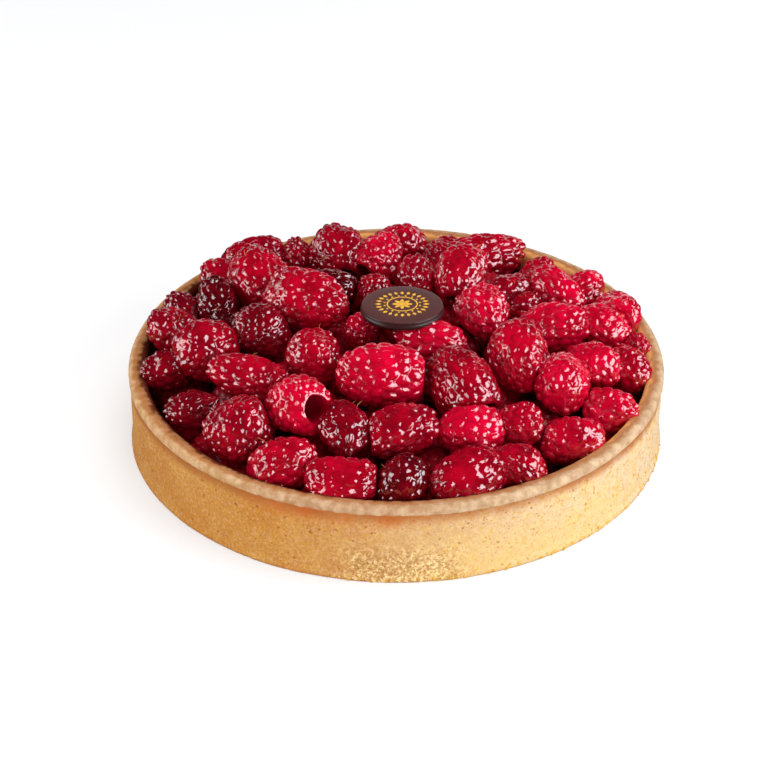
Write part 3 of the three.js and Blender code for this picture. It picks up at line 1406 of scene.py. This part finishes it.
@dataclass
class BerryPlace:
    """Where one raspberry lies: its middle, its axis towards the tip and its size."""

    middle: np.ndarray
    axis: np.ndarray
    length: float
    half_width: float

    @property
    def half_size(self) -> np.ndarray:
        """Half the berry's size across, across and along its axis."""
        return np.array([self.half_width, self.half_width, self.length / 2])

    def reach(self, towards: np.ndarray) -> float:
        """Distance from the middle to the surface.

        Args:
            towards: A unit direction.

        Returns:
            The distance.
        """
        along = float(self.axis @ towards)
        across = math.sqrt(max(0.0, 1.0 - along * along))
        return 1.0 / math.hypot(along / (self.length / 2), across / self.half_width)


class BerryFitter:
    """Reads a raspberry's place from its CAD node."""

    TRIES = 900
    UNIT = 10 * MM
    LENGTH_SHARE = 1.03
    WIDTH_SHARE = 1.04

    def __init__(self) -> None:
        """Spread trial directions evenly over a sphere."""
        steps = np.arange(self.TRIES) + 0.5
        height = 1.0 - 2.0 * steps / self.TRIES
        turn = steps * math.pi * (3.0 - math.sqrt(5.0))
        ring = np.sqrt(1.0 - height**2)
        self.directions = np.stack([ring * np.cos(turn), ring * np.sin(turn), height], axis=1)

    def place(self, node: Piece) -> BerryPlace:
        """Find the axis and size that fit a node's points best.

        An ellipsoid of revolution round a trial axis through the hollow's bottom solves a linear
        fit, so that every trial axis is solved at once.

        Args:
            node: The CAD node of the berry.

        Returns:
            The berry's place.
        """
        points = np.unique(np.round(points_of(node), 6), axis=0)
        start = self.hollow_point(points)
        away = points - start
        away = away[np.linalg.norm(away, axis=1) > 0.5 * MM] / self.UNIT
        along = self.directions @ away.T
        across = (away**2).sum(axis=1) - along**2
        table = np.stack([along**2, along, across], axis=2)
        square = np.einsum("dpi,dpj->dij", table, table)
        answer = np.linalg.solve(square, table.sum(axis=1)[:, :, None])[:, :, 0]
        error = ((np.einsum("dpi,di->dp", table, answer) - 1.0) ** 2).mean(axis=1)
        fits = (answer[:, 0] > 0) & (answer[:, 2] > 0) & (answer[:, 1] < 0)
        best = int(np.argmin(np.where(fits, error, np.inf)))
        a, b, c = answer[best]
        shift = -b / (2 * a)
        full = 1.0 + a * shift**2
        axis = self.directions[best]
        length = 2 * math.sqrt(full / a) * self.UNIT * self.LENGTH_SHARE
        half_width = math.sqrt(full / c) * self.UNIT * self.WIDTH_SHARE
        return BerryPlace(start + axis * shift * self.UNIT, axis, length, half_width)

    def hollow_point(self, points: np.ndarray) -> np.ndarray:
        """Find the bottom of the hollow, which is the point deepest inside the berry.

        Args:
            points: The node's points.

        Returns:
            That point.
        """
        reach = points @ self.directions.T
        depth = (reach.max(axis=0) - reach).min(axis=1)
        return points[int(np.argmax(depth))]


class Raspberries:
    """The glazed raspberries of the heap, each fitted to its CAD node."""

    PREFIX = "raspberry_"
    OPEN_BERRY = "raspberry_25"
    PRESS_GIVE = 0.12
    OVERLAP = 0.35 * MM
    NEIGHBOUR = 40 * MM
    LUMP_WAVES = 4
    LUMP_HEIGHT = 0.028
    SMOOTH = (35, 36, 41, 53)
    FORMS = (
        BerryForm(seed=3, half_width=8.0 * MM, length=17 * MM, bulge=1.1),
        BerryForm(seed=7, half_width=9.0 * MM, length=20 * MM, shoulder=0.72, bulge=0.95),
        BerryForm(seed=12, half_width=9.5 * MM, length=22 * MM, bulge=1.2),
        BerryForm(seed=19, half_width=10.5 * MM, length=22 * MM, shoulder=0.66, bulge=1.0),
        BerryForm(seed=27, half_width=10.5 * MM, length=25 * MM, drupelet=3.8 * MM, bulge=1.2),
        BerryForm(seed=34, half_width=11.5 * MM, length=25 * MM, shoulder=0.85, bulge=1.1),
        BerryForm(seed=45, half_width=12.5 * MM, length=27 * MM, shoulder=0.7, bulge=1.05),
    )
    OPEN_FORM = BerryForm(
        seed=52, half_width=11.0 * MM, length=23 * MM, bulge=1.1, hollow=0.7, mouth=0.55
    )

    def __init__(self, nodes: dict[str, Piece]) -> None:
        """Find every raspberry's place.

        Args:
            nodes: The CAD nodes by name.
        """
        fitter = BerryFitter()
        names = sorted(name for name in nodes if name.startswith(self.PREFIX))
        self.places = {name: fitter.place(nodes[name]) for name in names}
        self.draw = random.Random(11)
        self.finishes = {grade: grade.value.material() for grade in RipenessAndShading}

    def number_of(self, name: str) -> int:
        """Read a berry's number from its node's name."""
        return int(name.removeprefix(self.PREFIX))

    def finish_of(self, name: str) -> bpy.types.Material:
        """Look up the finish of a berry, by its grade of ripeness and painted shading.

        Args:
            name: The berry's node.

        Returns:
            Its material.
        """
        for grade, numbers in RIPENESS_AND_SHADING_OF.items():
            if self.number_of(name) in numbers:
                return self.finishes[grade]
        return self.finishes[RipenessAndShading.RIPE]

    def build(self) -> list[Piece]:
        """Make every raspberry.

        Returns:
            The finished pieces.
        """
        patterns = {}
        for form in (*self.FORMS, self.OPEN_FORM):
            patterns[form] = BerryPattern(form).build(f"berry_pattern_{form.seed}")
        pieces = []
        for name, place in self.places.items():
            misfits = [
                abs(form.half_width - place.half_width) + self.draw.uniform(0, MM)
                for form in self.FORMS
            ]
            best = self.FORMS[misfits.index(min(misfits))]
            form = self.OPEN_FORM if name == self.OPEN_BERRY else best
            piece = self.fit_copy(patterns[form], form, name)
            hand_in(piece, self.finish_of(name), "raspberry", name)
            pieces.append(piece)
        for pattern in patterns.values():
            bpy.data.objects.remove(pattern)
        return pieces

    def fit_copy(self, pattern: Piece, form: BerryForm, name: str) -> Piece:
        """Copy a pattern into a berry's place.

        Args:
            pattern: The pattern's object.
            form: The pattern's sizes.
            name: The berry's node.

        Returns:
            The fitted berry.
        """
        place = self.places[name]
        shares = self.fill_seams(points_of(pattern) / form.half_size, pattern, name)
        points = self.misshape(shares) * place.half_size
        roll = turn_about("Z", self.draw.uniform(0.0, FULL_TURN))
        lean = UP.rotation_difference(Vector(place.axis)).to_matrix()
        points = points @ np.array(lean @ roll).T + place.middle
        return copy_piece(pattern, f"{name}_fruit", self.press(points, name))

    def fill_seams(self, shares: np.ndarray, pattern: Piece, name: str) -> np.ndarray:
        """Level the drupelets a little where the glaze lies thick.

        Args:
            shares: Points as shares of half width and half length.
            pattern: The pattern's object, which says how far out its mean skin lies.
            name: The berry's node.

        Returns:
            The changed points.
        """
        skin = np.empty(len(shares), np.float32)
        pattern.data.attributes["skin"].data.foreach_get("value", skin)
        reach = np.linalg.norm(shares, axis=1)
        smooth = self.number_of(name) in self.SMOOTH
        thick = 0.65 if smooth else self.draw.uniform(-0.05, 0.40)
        wave = np.array([self.draw.gauss(0.0, 1.6) for _ in range(3)])
        thick = thick + 0.35 * np.sin(shares @ wave + self.draw.uniform(0.0, FULL_TURN))
        outside = np.clip((reach - 0.72) / 0.1, 0.0, 1.0)
        level = np.clip(thick, 0.0, 0.8) * outside * (reach - skin) / np.maximum(reach, 0.1)
        return shares * (1.0 - level[:, None])

    def misshape(self, shares: np.ndarray) -> np.ndarray:
        """Bend and flatten a berry a little, as no two grow alike.

        Args:
            shares: Points as shares of half width and half length.

        Returns:
            The changed points.
        """
        bend = self.draw.uniform(-0.14, 0.14)
        lean = self.draw.uniform(-0.10, 0.10)
        flat = self.draw.uniform(-0.07, 0.07)
        taper = self.draw.uniform(-0.10, 0.10)
        x, y, z = shares.T
        thick = 1.0 + taper * z
        x = x * thick * (1.0 + flat) + bend * (z**2 - 0.4)
        y = y * thick * (1.0 - flat) + lean * z
        shares = np.stack([x, y, z], axis=1)
        lump = np.zeros(len(shares))
        for _ in range(self.LUMP_WAVES):
            wave = np.array([self.draw.gauss(0.0, 1.0) for _ in range(3)])
            wave *= self.draw.uniform(2.4, 4.0) / np.linalg.norm(wave)
            lump += np.sin(shares @ wave + self.draw.uniform(0.0, FULL_TURN))
        return shares * (1.0 + self.LUMP_HEIGHT * lump[:, None])

    def press(self, points: np.ndarray, name: str) -> np.ndarray:
        """Flatten a berry where it lies against its neighbours, which all give way to the open one.

        Args:
            points: The berry's points.
            name: The berry's node.

        Returns:
            The pressed points.
        """
        if name == self.OPEN_BERRY:
            return points
        place = self.places[name]
        for other_name, other in self.places.items():
            apart = other.middle - place.middle
            distance = float(np.linalg.norm(apart))
            if other_name == name or distance > self.NEIGHBOUR:
                continue
            towards = apart / distance
            own = place.reach(towards)
            theirs = other.reach(-towards)
            if own + theirs <= distance:
                continue
            share = 0.9 if other_name == self.OPEN_BERRY else 0.5
            limit = own - (own + theirs - distance) * share + self.OVERLAP
            beyond = (points - place.middle) @ towards - limit
            push = np.where(beyond > 0, beyond * (1.0 - self.PRESS_GIVE), 0.0)
            points = points - push[:, None] * towards
        return points


class LowerFruit:
    """The fruit that shows deep between the berries: a dark bed and coarser berries on it."""

    NODE = "fruit_bed"
    RINGS = ((0.0, 1), (20 * MM, 6), (38 * MM, 11), (55 * MM, 16), (73 * MM, 27))
    BED_SHARES = (1.0, 0.97, 0.88, 0.76, 0.64, 0.52, 0.4, 0.28, 0.16, 0.06)
    CORE_DROP = 3.0 * MM
    EDGE_HEIGHT = 21.5 * MM
    FLOOR_CLEARANCE = 1.05
    SINK = 2 * MM
    SIDES = 96

    def __init__(self, upper: dict[str, BerryPlace]) -> None:
        """Keep the places of the berries that lie above.

        Args:
            upper: The places by the berries' names.
        """
        self.upper = upper
        self.draw = random.Random(23)
        low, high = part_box(self.NODE)
        self.radius = high.x
        self.top = high.z
        self.bottom = low.z

    def build(self) -> None:
        """Make the bed and the berries on it."""
        finish = ShadedFruit().material()
        hand_in(self.add_bed(), finish, "fruit_bed", self.NODE)
        hand_in(self.add_berries(), finish, "fruit_bed")

    def bed_height(self, radius: float) -> float:
        """Height of the dark bed at a distance from the axis."""
        fall = (self.top - self.EDGE_HEIGHT) / self.radius**2
        return self.top - self.CORE_DROP - fall * radius**2

    def add_bed(self) -> Piece:
        """Model the bed: a ring drawn up and in to a low dome.

        Returns:
            The bed.
        """
        deselect_all()
        edge = self.radius - 0.2 * MM
        bpy.ops.mesh.primitive_circle_add(
            vertices=self.SIDES, radius=edge, location=(0, 0, self.bottom)
        )
        bed = name_piece("fruit_core")
        apply_place(bed)
        edit_whole(bed)
        dome = [(edge * share, self.bed_height(edge * share)) for share in self.BED_SHARES]
        draw_rings([(edge, self.bottom), *dome])
        bpy.ops.object.mode_set(mode="OBJECT")
        smooth_surface(bed)
        edit_whole(bed)
        bpy.ops.mesh.fill_holes(sides=0)
        turn_outwards()
        add_relief(bed, 6 * MM, 2.2 * MM, 2)
        apply_modifiers(bed)
        bpy.ops.object.shade_smooth()
        return bed

    def add_berries(self) -> Piece:
        """Lay coarse berries in rings, each as high as the berries above let it rise.

        Returns:
            The joined berries.
        """
        form = BerryForm(seed=41, drupelet=4.5 * MM)
        pattern = BerryPattern(form, smooth=False).build("lower_pattern")
        points = points_of(pattern)
        copies = []
        for ring, (radius, count) in enumerate(self.RINGS):
            for step in range(count):
                bearing = FULL_TURN * (step + 0.5 * (ring % 2)) / count
                bearing += self.draw.uniform(-0.1, 0.1)
                spot = np.array([radius * math.cos(bearing), radius * math.sin(bearing)])
                height = self.rise(spot, form.half_width)
                turn = turn_about("Z", self.draw.uniform(0, FULL_TURN))
                turn = turn @ turn_about("X", self.draw.uniform(0.9, 1.9))
                placed = points @ np.array(turn).T + np.array([*spot, height])
                copies.append(copy_piece(pattern, f"lower_{ring}_{step}", placed))
        bpy.data.objects.remove(pattern)
        return join_pieces(copies, "lower_raspberries")

    def rise(self, spot: np.ndarray, size: float) -> float:
        """Height at which a lower berry just meets the berries above.

        Args:
            spot: Its place on plan.
            size: Its radius.

        Returns:
            The height of its middle.
        """
        height = self.bed_height(float(np.linalg.norm(spot))) + 0.35 * size
        for place in self.upper.values():
            flat = float(np.linalg.norm(place.middle[:2] - spot))
            reach = place.half_width + size
            if flat < reach:
                height = min(height, place.middle[2] - math.sqrt(reach**2 - flat**2) + self.SINK)
        return max(height, self.bottom + self.FLOOR_CLEARANCE * size)


# ---------------------------------------------------------------- threads and crumbs


class DriedThreads:
    """Thin golden threads that still hang on some drupelets."""

    COUNT = 70
    RADIUS = 0.07 * MM
    LENGTH = 3.2 * MM
    STEPS = 4
    BEND = 0.12
    THINNING = 0.82
    LOWEST_NORMAL = 0.15
    ROOT_DEPTH = 0.2 * MM

    def __init__(self, berries: list[Piece]) -> None:
        """Keep the berries.

        Args:
            berries: The finished raspberries.
        """
        self.berries = berries
        self.draw = random.Random(71)

    def build(self) -> None:
        """Set the threads on the berries and join them."""
        pattern = self.add_thread()
        copies = [self.plant(pattern, number) for number in range(self.COUNT)]
        bpy.data.objects.remove(pattern)
        hand_in(join_pieces(copies, "dried_threads"), DriedStyle().material(), "raspberry")

    def add_thread(self) -> Piece:
        """Model one thread: a small ring drawn out, bent and thinned step by step.

        Returns:
            The thread, standing on the origin along +Z and bending towards +X.
        """
        deselect_all()
        bpy.ops.mesh.primitive_circle_add(vertices=4, radius=self.RADIUS, fill_type="NGON")
        thread = name_piece("thread")
        edit_whole(thread)
        for step in range(self.STEPS):
            bend = self.BEND * step * self.LENGTH / self.STEPS * 2
            lift = {"value": (bend, 0.0, self.LENGTH / self.STEPS)}
            bpy.ops.mesh.extrude_region_move(TRANSFORM_OT_translate=lift)
            bpy.ops.transform.resize(value=(self.THINNING, self.THINNING, 1.0))
        bpy.ops.mesh.select_all(action="SELECT")
        bpy.ops.mesh.fill_holes(sides=0)
        turn_outwards()
        return thread

    def plant(self, pattern: Piece, number: int) -> Piece:
        """Set one copy of the thread on a drupelet that looks up.

        Args:
            pattern: The thread.
            number: Number of the copy.

        Returns:
            The planted copy.
        """
        draw = self.draw
        vertices = draw.choice(self.berries).data.vertices
        vertex = vertices[draw.randrange(len(vertices))]
        while vertex.normal.z < self.LOWEST_NORMAL:
            vertex = vertices[draw.randrange(len(vertices))]
        aside = Vector((draw.gauss(0, 1), draw.gauss(0, 1), draw.gauss(0, 1)))
        along = (vertex.normal + 0.6 * aside.normalized()).normalized()
        turn = UP.rotation_difference(along).to_matrix()
        turn = turn @ turn_about("Z", draw.uniform(0, FULL_TURN))
        points = points_of(pattern) * np.array([1.0, 1.0, draw.uniform(0.35, 1.0)])
        root = vertex.co - vertex.normal * self.ROOT_DEPTH
        return copy_piece(pattern, f"thread_{number}", points @ np.array(turn).T + np.array(root))


class CrustCrumbs:
    """Loose grains of crust along the foot of the case."""

    COUNT = 90
    SIZE = 0.40 * MM
    FIRST_BEARING = -100.0
    LAST_BEARING = -8.0
    FOOT_HEIGHT = 2.4 * MM

    def __init__(self, case: CaseSizes) -> None:
        """Keep the case's sizes.

        Args:
            case: The sizes.
        """
        self.case = case
        self.draw = random.Random(83)

    def build(self) -> None:
        """Press the grains into the foot and join them."""
        deselect_all()
        bpy.ops.mesh.primitive_ico_sphere_add(subdivisions=2, radius=self.SIZE)
        pattern = name_piece("grain")
        edit_whole(pattern)
        bpy.ops.transform.vertex_random(offset=0.25 * self.SIZE, seed=5)
        bpy.ops.object.mode_set(mode="OBJECT")
        copies = [self.place(pattern, number) for number in range(self.COUNT)]
        bpy.data.objects.remove(pattern)
        crumbs = join_pieces(copies, "crust_crumbs")
        make_active(crumbs)
        bpy.ops.object.shade_smooth()
        hand_in(crumbs, ToastedCrumb().material(), "crust")

    def place(self, pattern: Piece, number: int) -> Piece:
        """Press one grain into the foot.

        Args:
            pattern: The grain.
            number: Number of the copy.

        Returns:
            The placed copy.
        """
        draw = self.draw
        bearing = math.radians(draw.uniform(self.FIRST_BEARING, self.LAST_BEARING))
        height = abs(draw.gauss(0.0, 1.0)) * 0.9 * MM + 0.3 * MM
        radius = self.case.radius + self.case.foot_proud * max(0.0, 1.0 - height / self.FOOT_HEIGHT)
        size = np.array([draw.uniform(0.5, 1.0), draw.uniform(0.6, 2.4), draw.uniform(0.6, 1.6)])
        turn = turn_about("X", draw.uniform(0, FULL_TURN))
        turn = turn_about("Z", bearing) @ turn
        points = (points_of(pattern) * size) @ np.array(turn).T
        points += np.array([radius * math.cos(bearing), radius * math.sin(bearing), height])
        points[:, 2] = np.maximum(points[:, 2], PastryCase.UNDERSIDE)
        return copy_piece(pattern, f"grain_{number}", points)


# ---------------------------------------------------------------- chocolate disc


class ChocolateDisc:
    """The tilted chocolate disc and its gold rosette."""

    NODE = "chocolate_disc"
    SIDES = 128
    PRINT_HEIGHT = 0.06 * MM
    SIDE = (
        (1.00 * MM, 0.00 * MM),
        (0.72 * MM, 0.06 * MM),
        (0.48 * MM, 0.22 * MM),
        (0.34 * MM, 0.48 * MM),
        (0.34 * MM, 0.90 * MM),
        (0.28 * MM, 1.20 * MM),
        (0.12 * MM, 1.42 * MM),
        (0.02 * MM, 1.72 * MM),
        (0.00 * MM, 2.05 * MM),
        (0.10 * MM, 2.45 * MM),
        (0.34 * MM, 2.78 * MM),
        (0.80 * MM, 3.00 * MM),
    )

    def __init__(self, node: Piece) -> None:
        """Find the disc's top face from its CAD node.

        Args:
            node: The disc's node.
        """
        upward = max(node.data.polygons, key=lambda face: face.area * max(0.0, face.normal.z))
        normal = Vector(upward.normal).normalized()
        axis = np.array(normal)
        points = points_of(node)
        reach = points @ axis
        top = Vector(points[reach > reach.max() - 0.01 * MM].mean(axis=0))
        flat = points - points.mean(axis=0)
        flat = flat - np.outer(flat @ axis, axis)
        self.radius = float(np.linalg.norm(flat, axis=1).max())
        self.place = Matrix.Translation(top) @ UP.rotation_difference(normal).to_matrix().to_4x4()

    def build(self) -> None:
        """Make the disc and the gold on it, each drawn flat at the origin and then put in place."""
        disc = self.add_disc()
        self.set_down(disc, 50)
        hand_in(disc, SatinChocolate().material(), "chocolate", self.NODE)
        gold = self.add_rosette()
        self.set_down(gold, 40)
        hand_in(gold, EdibleGold().material(), "chocolate")

    def set_down(self, piece: Piece, crease: float) -> None:
        """Put a piece that was drawn flat at the origin in its place and smooth it.

        Args:
            piece: The piece.
            crease: Angle in degrees from which its edges stay sharp.
        """
        piece.data.transform(self.place)
        make_active(piece)
        bpy.ops.object.shade_smooth_by_angle(angle=math.radians(crease))

    def add_disc(self) -> Piece:
        """Model the disc: a face drawn down over its edge, a waist and a bead to the underside.

        Returns:
            The disc.
        """
        outline = [(self.radius - inset, -depth) for inset, depth in self.SIDE]
        deselect_all()
        bpy.ops.mesh.primitive_circle_add(
            vertices=self.SIDES, radius=outline[0][0], fill_type="NGON"
        )
        disc = name_piece("chocolate_button")
        edit_whole(disc)
        draw_rings(outline)
        bpy.ops.mesh.select_all(action="SELECT")
        bpy.ops.mesh.fill_holes(sides=0)
        turn_outwards()
        bpy.ops.object.mode_set(mode="EDIT")
        bpy.ops.mesh.select_mode(type="FACE")
        for level in (1.0, -1.0):
            self.pick_cap(disc, level)
            for share in (0.25, 0.3, 0.3):
                bpy.ops.mesh.inset(thickness=share * self.radius)
        bpy.ops.object.mode_set(mode="OBJECT")
        add_relief(disc, 9 * MM, 0.12 * MM, 1)
        apply_modifiers(disc)
        return disc

    @staticmethod
    def pick_cap(disc: Piece, level: float) -> None:
        """Select the largest face that looks up or down.

        Args:
            disc: The disc, in edit mode.
            level: 1 for the upper face, -1 for the lower one.
        """
        bpy.ops.mesh.select_all(action="DESELECT")
        shape = bmesh.from_edit_mesh(disc.data)
        cap = max(shape.faces, key=lambda face: face.calc_area() * max(0.0, face.normal.z * level))
        cap.select = True
        bmesh.update_edit_mesh(disc.data)

    def add_rosette(self) -> Piece:
        """Model the gold: a star, petals, a ring, dots and an outer wreath of diamonds.

        Returns:
            The joined gold.
        """
        star = [
            ((1.6 if step % 2 else 0.75) * MM, math.pi * (step + 0.5) / 8) for step in range(16)
        ]
        wreath = [
            ((0.62 if step % 2 else 1.05) * MM, math.pi / 2 * (step + 0.001)) for step in range(4)
        ]
        dot = [(0.36 * MM, FULL_TURN * (step + 0.5) / 12) for step in range(12)]
        parts = [self.flat_shape(self.corners(star), "star")]
        parts += self.around(self.flat_shape(self.petal(), "petal"), 8, 2.15 * MM, 0.0)
        parts += [self.ring(5.0 * MM, 0.22 * MM)]
        parts += self.around(self.flat_shape(self.corners(dot), "dot"), 16, 6.0 * MM, 0.5)
        parts += self.around(self.flat_shape(self.corners(wreath), "diamond"), 24, 8.0 * MM, 0.0)
        return join_pieces(parts, "gold_rosette")

    @staticmethod
    def corners(turns: Outline) -> Outline:
        """Turn pairs of radius and angle into points."""
        return [(radius * math.cos(angle), radius * math.sin(angle)) for radius, angle in turns]

    @staticmethod
    def petal() -> Outline:
        """Outline of one petal, its middle at the origin and its tip along +X.

        Returns:
            The outline's points.
        """
        half_length, half_width = 1.25 * MM, 0.62 * MM
        points = []
        for step in range(16):
            angle = FULL_TURN * (step + 0.5) / 16
            pinch = 1.0 - 0.25 * math.cos(angle)
            points.append((half_length * math.cos(angle), half_width * math.sin(angle) * pinch))
        return points

    def raise_print(self, shape: Piece) -> Piece:
        """Give a flat shape the print's height, from just inside the disc.

        Args:
            shape: The flat shape.

        Returns:
            The raised shape.
        """
        edit_whole(shape)
        bpy.ops.transform.translate(value=(0.0, 0.0, -self.PRINT_HEIGHT))
        lift = {"value": (0.0, 0.0, 2.5 * self.PRINT_HEIGHT)}
        bpy.ops.mesh.extrude_region_move(TRANSFORM_OT_translate=lift)
        turn_outwards()
        return shape

    def flat_shape(self, points: Outline, name: str) -> Piece:
        """Make a flat shape from a disc whose rim is moved to an outline.

        Args:
            points: The outline, anticlockwise.
            name: Name of the shape.

        Returns:
            The raised shape.
        """
        deselect_all()
        bpy.ops.mesh.primitive_circle_add(vertices=len(points), radius=1.0, fill_type="NGON")
        shape = name_piece(name)
        order = sorted(shape.data.vertices, key=lambda vertex: math.atan2(vertex.co.y, vertex.co.x))
        outline = sorted(points, key=lambda point: math.atan2(point[1], point[0]))
        for vertex, (x, y) in zip(order, outline):
            vertex.co = (x, y, 0.0)
        return self.raise_print(shape)

    def ring(self, radius: float, half_width: float) -> Piece:
        """A thin ring.

        Args:
            radius: Its middle radius.
            half_width: Half the width of its line.

        Returns:
            The raised ring.
        """
        deselect_all()
        bpy.ops.mesh.primitive_circle_add(vertices=96, radius=radius + half_width, fill_type="NGON")
        ring = name_piece("ring")
        edit_whole(ring)
        bpy.ops.mesh.inset(thickness=2 * half_width)
        bpy.ops.mesh.delete(type="FACE")
        bpy.ops.object.mode_set(mode="OBJECT")
        return self.raise_print(ring)

    @staticmethod
    def around(shape: Piece, count: int, radius: float, offset: float) -> list[Piece]:
        """Repeat a shape round the middle.

        Args:
            shape: The shape, its own front along +X.
            count: Number of copies.
            radius: Distance of their middles.
            offset: Share of a step by which the first is turned.

        Returns:
            The copies.
        """
        points = points_of(shape) + np.array([radius, 0.0, 0.0])
        copies = []
        for step in range(count):
            turn = turn_about("Z", FULL_TURN * (step + offset) / count)
            copies.append(copy_piece(shape, f"{shape.name}_{step}", points @ np.array(turn).T))
        bpy.data.objects.remove(shape)
        return copies


# ---------------------------------------------------------------- main


def main() -> None:
    """Build the studio and every piece of the tart."""
    logging.basicConfig(level=logging.INFO, format="%(name)s: %(message)s")
    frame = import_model()
    Studio().build()
    case = PastryCase()
    case.build()
    CrustCrumbs(case.sizes).build()
    raspberries = Raspberries(frame["nodes"])
    DriedThreads(raspberries.build()).build()
    LowerFruit(raspberries.places).build()
    ChocolateDisc(frame["nodes"][ChocolateDisc.NODE]).build()


if __name__ == "__main__":
    main()
